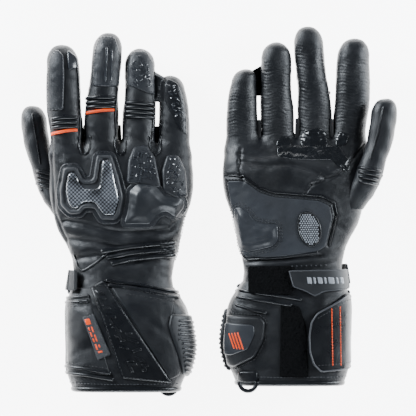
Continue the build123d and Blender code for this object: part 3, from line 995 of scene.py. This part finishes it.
STROKES = [
    [(0, 0), (1, 0), (0.92, 0.26), (0, 0.26)],
    [(0, 0), (1, 0), (1, 0.3), (0.34, 0.3), (0.34, 1), (0, 1)],
    [(0, 0), (0.62, 0), (0.62, 0.5), (1, 0.5), (1, 0.8), (0.3, 0.8), (0.3, 0.28), (0, 0.28)],
    [(0, 0), (0.9, 0.1), (1, 0.9), (0.7, 0.6), (0.3, 0.55)],
    [(0, 0.3), (1, 0), (1, 0.32), (0, 0.62)],
]


def strokes(surface, outline, side, base, seed, cell=6.5, lean=0.25, height=0.45, margin=0.8):
    """Angular strokes in relief, scattered over an outline in leaning rows."""
    rng = np.random.default_rng(seed)
    outline = np.asarray(outline, float)
    low, high = outline.min(0), outline.max(0)
    shapes = []
    for y in np.arange(low[1], high[1], cell * 0.78):
        for x in np.arange(low[0] - cell, high[0], cell * 0.9):
            shape = np.array(STROKES[rng.integers(len(STROKES))], float)
            if rng.random() < 0.5:
                shape = np.array([1, 0]) + shape[::-1] * np.array([-1, 1])
            if rng.random() < 0.5:
                shape = np.array([0, 1]) + shape[::-1] * np.array([1, -1])
            shape = shape * cell * rng.uniform(0.62, 0.86)
            shape[:, 0] += lean * shape[:, 1] + x + lean * (y - low[1])
            shape[:, 1] += y + rng.uniform(-0.4, 0.4)
            if inside(shape, outline).all() and (edge_distance(shape, outline) > margin).all():
                top = raised(height, 0.5, base)
                shapes.append(patch(surface, shape, side, top, 2.2, 0.3 - base, soft=0))
    return shapes


def ribs(surface, lines, side, radius, lift=0.2, flat=0.8):
    return [welt(surface, line, side, radius, lift, flat) for line in lines]


def level_lines(x0, x1, ys, rise=0.0, sag=0.0):
    """Lines across a finger at several heights; sag bows their middle towards the wrist."""
    marks = np.linspace(0, 1, 7)
    return [[(x0 + (x1 - x0) * t, y + rise * t - sag * 4 * t * (1 - t)) for t in marks] for y in ys]


def rim(outline, inset):
    """A closed outline moved inwards."""
    edge = resampled(rounded(outline), 1.0, True)
    moved = edge + inward_of(edge) * inset
    kept = (edge_distance(moved, edge) > abs(inset) * 0.9) & (inside(moved, edge) == (inset > 0))
    return moved[kept]


# ---- Back of the hand: guards and pads ----
GUARD = [(-46, 79), (-36, 79), (-30.5, 69), (-23.5, 69), (-20.5, 88.5), (-8.5, 88.5), (-3, 72), (1.2, 55),
         (-1.6, 41), (-5.5, 36.5), (-16.5, 36.5), (-22, 46), (-30, 46), (-33, 41.3), (-41.6, 41.3),
         (-48.6, 48.4), (-49.6, 61)]
INSERT = [(-42.8, 74.2), (-44.8, 60.8), (-42.8, 49.6), (-40, 46), (-34.8, 45.2), (-30.4, 50.6),
          (-21.6, 50.6), (-14.8, 40), (-6.4, 40), (-1.9, 53.6), (-8.8, 84), (-16, 84.6),
          (-18, 64), (-20.8, 61.6), (-30.4, 61.6), (-37.4, 75)]
OUTER_GUARD = [(5.5, 60), (13, 67), (24, 67), (29, 61.5), (34, 56), (47.5, 55), (49.5, 48), (42, 38.4),
               (35, 43.5), (29, 42), (22, 33.3), (1, 33.3), (3.5, 42), (5, 52)]
RING_PAD = [(3.4, 66), (4.6, 84), (9, 95), (19.5, 96.4), (26, 87), (28.6, 74), (31, 62), (24, 63)]
LITTLE_PAD = [(32.4, 60), (31.4, 76), (35.4, 88.6), (45, 88), (50.2, 76), (51.4, 55), (42, 54)]


def bezel(plan, depth):
    """The guard's frame: a rounded rim that dips to a groove before the insert."""
    groove = smooth((depth - 3.0) / 1.0)
    return 3.3 * dome(depth, 1.8) - 1.5 * groove


def shell(plan, depth):
    """A broad swelling over the ring knuckle and a lower one over the little knuckle."""
    ring_swell = np.exp(-((plan[:, 0] - 15) / 15) ** 2 - ((plan[:, 1] - 52) / 17) ** 2)
    little_swell = np.exp(-((plan[:, 0] - 40) / 11) ** 2 - ((plan[:, 1] - 50) / 12) ** 2)
    return 1.5 * dome(depth, 1.2) + (4.2 * ring_swell + 2.6 * little_swell) * smooth(depth / 7)


guards, pads = (GUARD, OUTER_GUARD), (RING_PAD, LITTLE_PAD)
add("guard_frame", patch(skin, GUARD, 1, bezel, 1.0), "guard", replaces=("knuckle_guard",))
add("guard_insert", patch(skin, INSERT, 1, raised(3.6, 2.6, 0.8), 1.0), "carbon",
    replaces=("carbon_insert",))
add("outer_guard", patch(skin, OUTER_GUARD, 1, shell, 1.0), "satin", slot="satin_moulding",
    replaces=("outer_guard",))
add("guard_seat", [patch(skin, rim(line, -3.2), 1, 1.0, 1.6, wall=1.2, soft=1) for line in guards],
    "panel_leather", padded=0.5)
add("guard_stitching", seams(skin, [rim(line, -2.1) for line in guards], 1, True, over=1.0), "thread")
add("ring_knuckle_pad", [patch(skin, line, 1, raised(2.3, 2.0), 1.2) for line in pads], "panel_leather",
    slot="gloss_pattern", replaces=("knuckle_pads",), padded=0.7)
add("knuckle_pattern", strokes(skin, rim(RING_PAD, 0.9), 1, 2.2, 5, 5.8, 0.2, 0.8, 0.2)
    + strokes(skin, rim(LITTLE_PAD, 0.9), 1, 2.2, 8, 5.6, 0.2, 0.8, 0.2), "gloss", sharp=40)

# ---- Backs of the fingers ----
INDEX_PAD = [(-59.6, 124), (-60.2, 150), (-57.6, 167), (-52, 173), (-46.6, 168), (-46, 150), (-47, 124)]
INDEX_CAP = [(-44.4, 173), (-36.6, 167), (-36.2, 157), (-43, 156)]
MIDDLE_PAD = [(-23.4, 143), (-22, 172), (-18, 183), (-6.4, 183), (-2.6, 172), (-3, 143)]
MIDDLE_BARS = [[(-13.6, 147), (-12.4, 174)], [(-9.6, 147), (-8.6, 172)]]
RING_TIP = [(3.6, 144.5), (4.6, 160), (7.6, 171), (19, 171.5), (24.6, 161), (25.2, 136)]
LITTLE_PANEL = [(34, 131), (33.2, 143), (36, 150), (44, 146), (48.6, 134), (51.2, 118), (51, 104), (46, 108)]
BRIDGE = [(24, 131), (24.4, 152), (28.5, 157), (33.5, 153), (34.6, 131)]
BRIDGE_LEVEL = 8.6
finger_ribs = {
    "index": level_lines(-56, -36.4, (110, 113.6, 117.2), 1.2, -0.8),
    "middle": level_lines(-28, -6.8, (126.4, 130, 133.6), 0.6, -0.8),
    "ring": level_lines(3.2, 24.8, (119.6, 123, 126.6, 130.2), -1.5, -0.8),
}
pipings = {
    "index": level_lines(-56, -36.4, (105.4,), 3.2, -0.6),
    "middle": level_lines(-28, -7.2, (122.0,), 2.6, -0.6),
}
for name, lines in finger_ribs.items():
    add(f"{name}_ribs", ribs(skin, lines, 1, 1.7, 0.6, 0.9), "smooth_leather", middle_bend(name), padded=0.6)
for name, lines in pipings.items():
    add(f"{name}_piping", ribs(skin, lines, 1, 1.25, 0.6, 1.0), "orange", middle_bend(name))
for name, pad in (("index", INDEX_PAD), ("middle", MIDDLE_PAD)):
    add(f"{name}_pad", patch(skin, pad, 1, 1.4, 1.2, wall=1.6), "panel_leather", middle_bend(name),
        padded=0.5)
    # Flat dark discs over each pad stand for its perforations: painted shade inside the holes.
    holes = honeycomb(rim(pad, 2.0), 3.4, 0.3)
    add(f"{name}_holes", dots(skin, holes, 1, 0.55, 1.43, deep=-1.13), "black", middle_bend(name))
add("index_cap", patch(skin, INDEX_CAP, 1, 1.3, 1.1, wall=1.2), "gloss", middle_bend("index"))
add("middle_gloss", ribs(skin, MIDDLE_BARS, 1, 1.0, 1.3, 0.7), "gloss", middle_bend("middle"))
add("ring_tip_pad", patch(skin, RING_TIP, 1, 1.5, 1.1, wall=1.4), "panel_leather", middle_bend("ring"),
    padded=0.5)
add("ring_tip_pattern", strokes(skin, rim(RING_TIP, 1.6), 1, 1.5, 21, 5.2, -0.1, 0.4, 0.3), "gloss",
    middle_bend("ring"), sharp=40)
add("little_panel", patch(skin, LITTLE_PANEL, 1, 0.9, 1.1, wall=1.0), "smooth_leather", middle_bend("little"))
add("little_pattern", strokes(skin, rim(LITTLE_PANEL, 0.6), 1, 0.9, 34, 4.2, -0.25, 0.4, 0.2), "gloss",
    middle_bend("little"), sharp=40)
for name, pad in (("index", INDEX_PAD), ("middle", MIDDLE_PAD), ("ring", RING_TIP)):
    add(f"{name}_pad_stitching", stitches(skin, rim(pad, 1.0), 1, True, 2.4, 1.5, over=1.2), "grey_thread",
        middle_bend(name))
add("finger_bridge", patch(skin, BRIDGE, 1, 0, 1.0, 0.6, level=BRIDGE_LEVEL, wall=4.0), "leather", "ring_tip",
    replaces=("finger_bridge",))

# Seams beside the fingers, raised edges of the crotches, and the thumb's ribs
fourchettes = {
    "index": [[(-34.4, 97), (-34.0, 120), (-35.6, 150), (-37, 166)]],
    "middle": [[(-28.8, 116), (-28.6, 128)], [(-5.0, 98), (-6.0, 120), (-4.2, 142)]],
    "ring": [[(1.6, 116), (2.6, 124), (3.0, 142)], [(23.4, 98), (24.4, 118)]],
    "little": [[(29.2, 97), (31.0, 116), (31.4, 128)]],
}
for name, lines in fourchettes.items():
    add(f"{name}_seams", ribs(skin, lines, 1, 1.0, 0.25), "smooth_leather", middle_bend(name))


def crotch_shade(x, top, half):
    """Painted shade deep between two fingers: a dark sheet with back and palm faces and the wall round them.
    """
    outline = [(x, 88.4), (x + 2.4, 92), (x + half, 101), (x + 0.8 * half, top), (x - 0.8 * half, top),
               (x - half, 101), (x - 2.4, 92)]
    plan, triangles, depth = fill(rounded(outline, 1.0), 1.0, (0.35,))
    swell = 0.5 * dome(depth, 0.8)
    upper, lower = np.column_stack([plan, swell]), np.column_stack([plan, -3 - swell])
    return [with_skirt(upper, triangles, lower), (lower, triangles[:, ::-1])]


def crotch(x):
    """The raised edge between two finger roots, from one side round to the other."""
    half = [(4.6, 104), (4.0, 95), (2.4, 90.4)]
    return [(x - a, y) for a, y in half] + [(x, 88.8)] + [(x + a, y) for a, y in reversed(half)]


# Dark sheets deep in the crotches: painted shade between the finger roots.
CROTCH_SHADES = {"index": (-30.4, 113, 1.4), "middle": (-3.0, 113, 2.0), "ring": (27.6, 112, 2.0)}
for name, place_of in CROTCH_SHADES.items():
    add(f"{name}_gusset", crotch_shade(*place_of), "black", knuckle_bend(name))
for name, x in (("index", -30.2), ("middle", -1.6), ("ring", 26.4)):
    add(f"{name}_crotch_welt", welt(skin, crotch(x), 1, 1.0, 0.3), "smooth_leather", knuckle_bend(name))
back_lines = level_lines(-69, -56.5, (66, 69.6, 73.2, 76.8), -4.0)
palm_lines = level_lines(-69.5, -51.5, (60, 63.6, 67.2, 70.8), 3.0)
thumb_lines = [thumb.drop(line, 1) for line in back_lines] + [thumb.drop(line, -1) for line in palm_lines]
add("thumb_ribs", [tube(p + n * 0.4, n, 1.3, flat=0.9) for p, n in thumb_lines], "smooth_leather",
    THUMB_KNUCKLE_BEND, padded=0.6)
add("thumb_seams", [welt(thumb, [(-66, 82), (-69, 100), (-72.6, 122)], 1, 0.7, 0.1),
                    welt(thumb, [(-60, 80), (-66, 100), (-70.4, 122)], -1, 0.7, 0.1)],
    "smooth_leather", THUMB_MIDDLE_BEND)


# ---- Wrist and cuff, back ----
whole = Surface(np.vstack([skin_points, cuff_points]), np.vstack([skin_faces, cuff_faces + len(skin_points)]))
WRIST_ROWS = [(0, -41.0, 43.0, -18.0, 25.0), (-34, -46.5, 52.0, -18.0, 30.0)]
wrist_wrap = Wrap(WRIST_ROWS, 0.6)
cuff_wrap = Wrap(CUFF_ROWS, 0.3)
THUMB_PANEL = [(-44, -25), (-25, -24), (-20, -50), (-9, -86), (-43, -86)]
DIAGONAL = [(-25.2, -16.8), (-14.4, -10.4), (10, -48), (40, -92.8), (0, -88.8), (-12, -52)]
OUTER_PANEL = [(-11, -13), (10, -15.5), (42, -21), (40, -37), (38, -48), (44, -66), (46, -86), (38, -90),
               (12, -48)]
CUFF_SLIDER = [(38.8, -37.6), (36.8, -47.2), (42, -62), (50, -86), (68, -88.5), (72, -62), (66, -39)]
PANEL_SEAMS = [[(-43, -32), (-28, -31)], [(-44, -76.5), (-12, -80.5)]]
CUFF_PIPING = [
    [(-44.5, -25.4), (-36, -24.6), (-26, -23.6)], [(-44.8, -29), (-36, -28.2), (-26.5, -27.4)],
    [(-44.6, -79.5), (-28, -81), (-9, -84.5)], [(-44.4, -84.5), (-28, -86), (-7, -89.5)],
    [(-12.8, -11.2), (10, -14.2), (44, -20.8)], [(-10.8, -15.4), (10, -18.2), (45, -25)],
]
LABEL = np.array([(-31.2, -40), (-22.4, -37.6), (-8.8, -69.6), (-19.2, -74.4)], float)
# Bars on the label: start and length along it, offset and width across it
LABEL_BARS = [(2.5, 4.5, 1.4, 3.6), (9.2, 2.6, 1.6, 1.2), (13.2, 4.0, 1.6, 1.2), (9.2, 4.6, 4.0, 1.2),
              (18.6, 3.2, 1.9, 1.2), (16, 5.6, 4.2, 1.2), (23.4, 5.0, 2.2, 1.2), (24.6, 2.4, 4.6, 1.2),
              (29.8, 1.4, 2.6, 3.4)]

add("cuff_thumb_panel", patch(whole, THUMB_PANEL, 1, 0.7, 1.6), "leather")
add("cuff_outer_panel", patch(whole, OUTER_PANEL, 1, 0.8, 1.6), "leather", padded=0.4)
add("cuff_diagonal_panel", patch(whole, DIAGONAL, 1, 1.7, 1.5, wall=1.4), "smooth_leather", padded=0.5)
add("cuff_diagonal_marks", strokes(whole, rim(DIAGONAL, 1.8), 1, 1.7, 3, 9.5, -0.45, 0.6, 0.4),
    "smooth_leather", slot="gloss_pattern", sharp=40)
add("cuff_stitching", stitches(whole, rim(DIAGONAL, 1.5), 1, True, 2.8, 1.9, over=1.5)
    + seams(whole, PANEL_SEAMS, 1, over=0.6)
    + stitches(whole, [(4, -22), (24, -25), (41, -28)], 1, over=0.7), "thread")
add("cuff_piping_back", ribs(whole, CUFF_PIPING, 1, 1.45, 0.6, 0.85), "smooth_leather", padded=0.6)


def label_bar(start, length, offset, width):
    """A rectangle that runs along the label."""
    along = (LABEL[3] - LABEL[0]) / np.linalg.norm(LABEL[3] - LABEL[0])
    over = (LABEL[1] - LABEL[0]) / np.linalg.norm(LABEL[1] - LABEL[0])
    a = LABEL[0] + along * start + over * offset
    return [a, a + over * width, a + over * width + along * length, a + along * length]


add("label", patch(whole, LABEL, 1, 1.5, 1.2, wall=0.5, soft=1), "label")
add("label_bars", [patch(whole, label_bar(*row), 1, raised(0.25, 0.4, 1.5), 1.5, -1.2, soft=0)
                   for row in LABEL_BARS], "orange")
add("cuff_slider", patch(cuff_wrap, CUFF_SLIDER, 1, raised(2.4, 1.6), 1.3), "rubber", slot="cuff_moulding",
    replaces=("cuff_slider",))
slider_ribs = [[(44 + 0.14 * (-43 - y) * (y < -60) + 1, y), (58, y - 1), (67, y - 2)]
               for y in np.arange(-43, -86, -3.6)]
add("cuff_slider_ribs", ribs(cuff_wrap, slider_ribs, 1, 1.15, 2.4, 0.9), "satin")

hem = ring(CUFF_SECTIONS, -97.4, -CUFF_WALL / 2)
hem_out = hem - hem.mean(0)
hem_out /= np.linalg.norm(hem_out, axis=1)[:, None]
add("hem_binding", tube(hem, hem_out, 2.5, sides=10, flat=1.0, closed=True), "smooth_leather")
add("hem_stitching", stitches(whole, [(-42, -92.4), (-10, -93.4), (44, -93)], 1, over=0.1)
    + stitches(whole, [(44, -92), (12, -92.8), (-42, -92.4)], -1, over=0.1), "grey_thread")
wrist_lines = [[(-7 - 0.8 * y, y), (6, y + 3.6), (22, y + 5.4), (41.6, y + 7)] for y in (2.0, 6.8, 11.8)]
add("wrist_ribs", ribs(whole, wrist_lines, 1, 2.0, 0.5), "smooth_leather", padded=0.6)
WRIST_SEAM = [(-38.4, 9), (-35, -1), (-32, -3.6), (-28, -2), (-18, 5), (-12, 11)]
add("wrist_seams", ribs(whole, [WRIST_SEAM], 1, 0.9, 0.2), "smooth_leather")
KEEPER = [(-56, -3), (-37, -3), (-37, -19), (-56, -19)]
add("strap_keeper", [patch(wrist_wrap, KEEPER, 1, 1.3, 1.2, wall=0.6)]
    + ribs(wrist_wrap, [[(x, -3), (x, -19)] for x in (-38.5, -46)], 1, 0.9, 1.2), "webbing",
    replaces=("strap_keeper",))

# ---- Palm ----
PALM_SLIDER = [(47, 42), (42, 42.5), (36, 38), (31, 31), (24, 28.6), (13, 28.6), (12.4, 17), (17, 11),
               (36, 6.4), (43, 9), (46, 25)]
angle = np.linspace(0, 2 * math.pi, 24, endpoint=False)
MESH_OVAL = np.stack([-12 + 8.8 * np.cos(angle) + 1.8 * np.sin(angle), 25 + 13.6 * np.sin(angle)], 1)
GRIP_HAND = [(13, 91), (13.2, 83), (2, 80.5), (-14, 80), (-30, 80), (-38, 71.5), (-43, 70), (-45, 77),
             (-38, 88), (-35, 91)]
GRIP_FINGERS = {
    "index": [(-41, 90.8), (-44, 99), (-38, 103), (-33.6, 99), (-33.4, 90.8)],
    "middle": [(-27, 90.8), (-26.6, 101), (-20, 105.4), (-8, 103.4), (-5, 96), (-6, 90.8)],
    "ring": [(1.8, 90.8), (2.6, 97), (8, 99.4), (13.6, 95), (14, 90.8)],
}
HEEL_PANEL = [(53, 63), (40, 63), (27, 53.6), (16, 50.2), (-20, 47.2), (-28.4, 43), (-30.4, 34), (-25, 11),
              (-18, 7), (7, 3.4), (38, 1.8), (42.5, 8), (48, 32)]
HEEL_SEAMS = [[(52, 64), (40, 64.4), (27, 55), (16, 51), (-20, 48), (-29.6, 43), (-31.2, 34), (-25.5, 13)],
              [(-10.6, 53), (-21, 69)], [(44, 80), (45, 72), (42, 62)]]
HEEL_WELTS = [[(52, 67.4), (40, 67.2), (27, 58), (16, 54), (-22, 51.2), (-32, 46), (-34, 36), (-28, 12)],
              [(41, 4.4), (37.6, 0.4), (6.8, 2.6), (-18.8, 6.6)]]
SLIDER_MARKS = [[(38, 14), (28, 15), (20, 17.4)], [(30, 17.6), (24, 19), (20, 20.6)]]


def unevenness(plan, scale, seed):
    """Smooth uneven values over plan points."""
    return ripples(np.column_stack([plan, np.zeros(len(plan))]), scale, seed)


def crinkled_film(plan, depth):
    """Glossy printed film with a crinkled face."""
    crinkles = 0.45 * np.abs(unevenness(plan, 6.5, 61)) + 0.16 * np.abs(unevenness(plan, 3.2, 62))
    return 0.45 + crinkles * np.clip(depth, 0, 1)


def crowned(plan, depth):
    """A moulding with a crisp edge and a broad crown."""
    return 1.3 * dome(depth, 0.7) + 1.8 * smooth((depth - 0.6) / 5)


add("grip_patch", patch(skin, GRIP_HAND, -1, crinkled_film, 0.8), "grip", replaces=("grip_patch",))
for name, outline in GRIP_FINGERS.items():
    add(f"{name}_grip", patch(skin, outline, -1, crinkled_film, 0.8), "grip", knuckle_bend(name))
add("heel_panel", patch(skin, HEEL_PANEL, -1, 0.5, 1.5, wall=0.8), "heel_leather", padded=0.4)
add("mesh_patch", patch(skin, MESH_OVAL, -1, 1.0, 1.2, wall=0.6), "black", slot="mesh_print",
    replaces=("mesh_patch",))
add("mesh_dots", dots(skin, honeycomb(MESH_OVAL, 1.9, 0.9), -1, 0.7, 1.35, sides=6, deep=-0.8, turn=0.5),
    "silver", sharp=30)
add("mesh_rim", welt(skin, MESH_OVAL, -1, 0.65, 1.0, closed=True), "smooth_leather")
add("palm_slider", patch(skin, PALM_SLIDER, -1, crowned, 1.2), "slider", replaces=("palm_slider",))
add("palm_slider_marks", ribs(skin, SLIDER_MARKS, -1, 0.45, 2.8), "rubber")
slider_seams = [rim(PALM_SLIDER, inset) for inset in (-1.4, -3.2)]
add("palm_slider_stitching", seams(skin, slider_seams, -1, True, over=0.5), "thread")
add("heel_stitching", seams(skin, HEEL_SEAMS, -1), "thread")
add("heel_welt", ribs(skin, HEEL_WELTS, -1, 0.85, 0.15), "smooth_leather")
add("wrist_dots", dots(whole, [(1.6 - 3.8 * i, -4.6 + 0.12 * i) for i in range(8)], -1, 0.62, 0.7),
    "grey_thread", slot="webbing")

# ---- Wrist and cuff, palm ----
WRIST_LOOP = [(37, -4.5), (36.5, -26), (3, -27.5), (-6, -14), (2, -4)]
CUFF_LOOP = [(10.5, -34), (11.5, -92.6), (-11.6, -93), (-9.5, -52), (-4, -36)]
CUFF_PAD = [(56, -43), (50, -43.6), (27, -44.8), (22.8, -49), (24.4, -63.2), (31.6, -77), (48.4, -85),
            (57, -84)]
PAD_PLATE = [(56, -49), (50.8, -49.6), (31.6, -51.2), (31, -58), (36.4, -70.4), (50, -75.5), (57, -75)]
PALM_PIPING = [[(44.6, -23.6), (20, -27), (6, -29), (-6, -31)],
               [(45.6, -29), (20, -32.4), (8, -34.6), (2, -35.4)], [(46, -35.6), (30, -39.8), (22, -41.6)]]
TAB = [(29, -88), (44, -88), (44.5, -95.5), (41, -96.8), (32, -96.8), (28.5, -95.5)]
STRAP = [(4.6, -7.8), (1.2, -21), (-8, -24), (-16.4, -28.6), (-23.4, -24.8), (-48, -22.6), (-49, -7)]
# Bars on the strap: x and width
STRAP_BARS = [(-10, 3.4), (-15, 1.6), (-18.4, 3.4), (-23.4, 1.6), (-26.6, 4.6), (-33, 1.6), (-36.2, 3.2)]
FLAP = [(-56, -26), (-44, -26.6), (-31, -34.5), (-18, -41.5), (-13, -49), (-11.4, -60), (-12, -73),
        (-15, -82.5), (-21, -88.6), (-56, -85.4)]


def fuzz(plan, depth):
    """The uneven top of a loop pile."""
    return (1.0 + 0.35 * unevenness(plan, 3.0, 71) + 0.2 * unevenness(plan, 1.4, 72)) * dome(depth, 0.8)


def pad_stripe(i):
    """One of the leaning orange stripes on the hexagonal pad."""
    a, b = np.array([43.6 + 2.3 * i, -57.0 - 0.3 * i]), np.array([39.2 + 2.3 * i, -70.6 + 0.2 * i])
    outline = [a, a + [1.25, 0], b + [1.25, 0], b]
    return patch(cuff_wrap, outline, -1, raised(0.3, 0.35, 2.9), 1.5, -2.6, soft=0)


def strap_bar(x, width):
    outline = [(x, -13.2), (x - width, -13.4), (x - width - 0.8, -18.4), (x - 0.8, -18.2)]
    return patch(strap_wrap, outline, -1, raised(0.22, 0.3, 1.7), 1.5, -1.4, soft=0)


def tab_ring():
    """The tab's loop of cord past the hem, flat against the palm side."""
    turn = np.linspace(0, math.pi, 25)
    path = np.stack([29.5 + 7 * (1 - np.cos(turn)), -96 - 7.5 * np.sin(turn), np.full(25, -17.2)], 1)
    return tube(path, np.array([(0, 0, -1.0)] * 25), 1.7, flat=0.6)


add("wrist_loop", patch(wrist_wrap, WRIST_LOOP, -1, fuzz, 0.9), "pile", replaces=("wrist_loop",))
add("cuff_loop", patch(whole, CUFF_LOOP, -1, fuzz, 0.9), "pile", replaces=("cuff_loop",))
add("cuff_pad", patch(cuff_wrap, CUFF_PAD, -1, raised(2.2, 1.8), 1.3), "leather", replaces=("cuff_pad",),
    padded=0.8)
add("cuff_pad_plate", patch(cuff_wrap, PAD_PLATE, -1, raised(0.9, 1.0, 2.0), 1.2, -1.2), "slider",
    slot="cuff_moulding")
add("cuff_pad_stripes", [pad_stripe(i) for i in range(4)], "orange")
add("cuff_pad_stitching", stitches(cuff_wrap, rim(CUFF_PAD, -1.6), -1, True), "thread")
add("cuff_piping_palm", ribs(whole, PALM_PIPING, -1, 1.2, 0.5, 0.85), "smooth_leather", padded=0.6)
add("pull_tab", [patch(whole, TAB, -1, 1.5, 1.2), tab_ring()], "smooth_leather", slot="strap_moulding",
    replaces=("pull_tab",))

strap_wrap = Tapered(WRIST_ROWS, 1.9, -36, 13, 1.5)
add("wrist_strap", patch(strap_wrap, STRAP, -1, raised(1.7, 0.8), 1.2, 0.1, soft=1), "rubber", "wrist_strap",
    replaces=("wrist_strap",))
add("strap_edge", welt(strap_wrap, rim(STRAP, 0.5), -1, 0.45, 1.6, closed=True), "grey_thread",
    "wrist_strap", slot="strap_moulding")
add("strap_bars", [strap_bar(x, width) for x, width in STRAP_BARS], "silver", "wrist_strap",
    slot="strap_moulding")
flap_wrap = Tapered(CUFF_ROWS, 2.6, -38, 17, 3.0)
add("cuff_flap", patch(flap_wrap, FLAP, -1, raised(1.8, 1.0), 1.4, 0.1, soft=1), "smooth_leather",
    "cuff_flap", slot="strap_moulding", replaces=("cuff_flap",))
flap_rim = rim(FLAP, 0.6)
free_rim = flap_rim[flap_rim[:, 0] > -49]     # away from the hinge, where the flap is sewn down
add("flap_binding", welt(flap_wrap, free_rim, -1, 0.75, 1.5), "grey_thread", "cuff_flap",
    slot="strap_moulding")
FLAP_SEAMS = [[(-54, -80.4), (-17, -83.4)], [(-54, -31), (-44, -31.4), (-31, -38.6), (-19, -45.5)]]
add("flap_hem", seams(flap_wrap, FLAP_SEAMS, -1, over=1.7), "thread", "cuff_flap", slot="strap_moulding")
orange_lines = [[(x, -37.5 - 0.22 * (x + 36)), (x - 0.8, -82.4)] for x in (-29.6, -36.4)]
bold = {"pitch": 2.2, "length": 1.9, "radius": 0.42, "lift": 0.3, "over": 1.7}
add("flap_orange_stitching", seams(flap_wrap, orange_lines, -1, **bold), "orange", "cuff_flap")


# ---- Floor, light and camera ----
FLOOR_SIZE, FLOOR_GAP = 6, 0.0005
SENSOR, CAMERA_DISTANCE, VIEW_WIDTH = 36, 2.98, 0.3328   # the view is this wide at the gloves' middle
CAMERA_PLACE = (0, 0.0024, 3.0)


def staged(name, data):
    """An object that is part of the studio, not of the gloves."""
    piece = bpy.data.objects.new(name, data)
    bpy.context.scene.collection.objects.link(piece)
    piece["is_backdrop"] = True
    return piece


def floor():
    low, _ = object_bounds()
    level = low[2] - FLOOR_GAP
    half = FLOOR_SIZE / 2
    corners = [(-half, -half, level), (half, -half, level), (half, half, level), (-half, half, level)]
    mesh = make_mesh("floor", corners, [(0, 1, 2, 3)])
    glow = {"Emission_Color": (1, 1, 1, 1), "Emission_Strength": 7.0}
    mesh.materials.append(Shader("pale_floor", (0.94, 0.94, 0.94), 0.9, **glow).material)
    staged("floor", mesh)


def light(name, place_at, size, power):
    """A soft lamp aimed at the gloves."""
    lamp = bpy.data.lights.new(name, "AREA")
    lamp.color = (0.86, 0.93, 1.0)
    lamp.shape, lamp.size, lamp.size_y, lamp.energy = "RECTANGLE", size[0], size[1], power
    piece = staged(name, lamp)
    piece.location = place_at
    piece.rotation_euler = (-Vector(place_at)).to_track_quat("-Z", "Y").to_euler()


def studio():
    world = bpy.data.worlds.new("studio")
    world.use_nodes = True
    background = world.node_tree.nodes["Background"]
    background.inputs["Color"].default_value = (0.9, 0.93, 1.0, 1)
    background.inputs["Strength"].default_value = 0.12
    bpy.context.scene.world = world
    light("key", (-1.3, 0.9, 0.62), (0.55, 0.7), 70)
    light("side", (1.4, 0.35, 0.5), (0.4, 1.0), 46)
    light("low", (0.1, -1.5, 0.6), (1.3, 0.35), 30)


def camera():
    data = bpy.data.cameras.new("camera")
    data.sensor_width, data.lens = SENSOR, SENSOR * CAMERA_DISTANCE / VIEW_WIDTH
    data.clip_end = 20
    piece = staged("camera", data)
    piece.location = CAMERA_PLACE
    bpy.context.scene.camera = piece


floor()
studio()
camera()
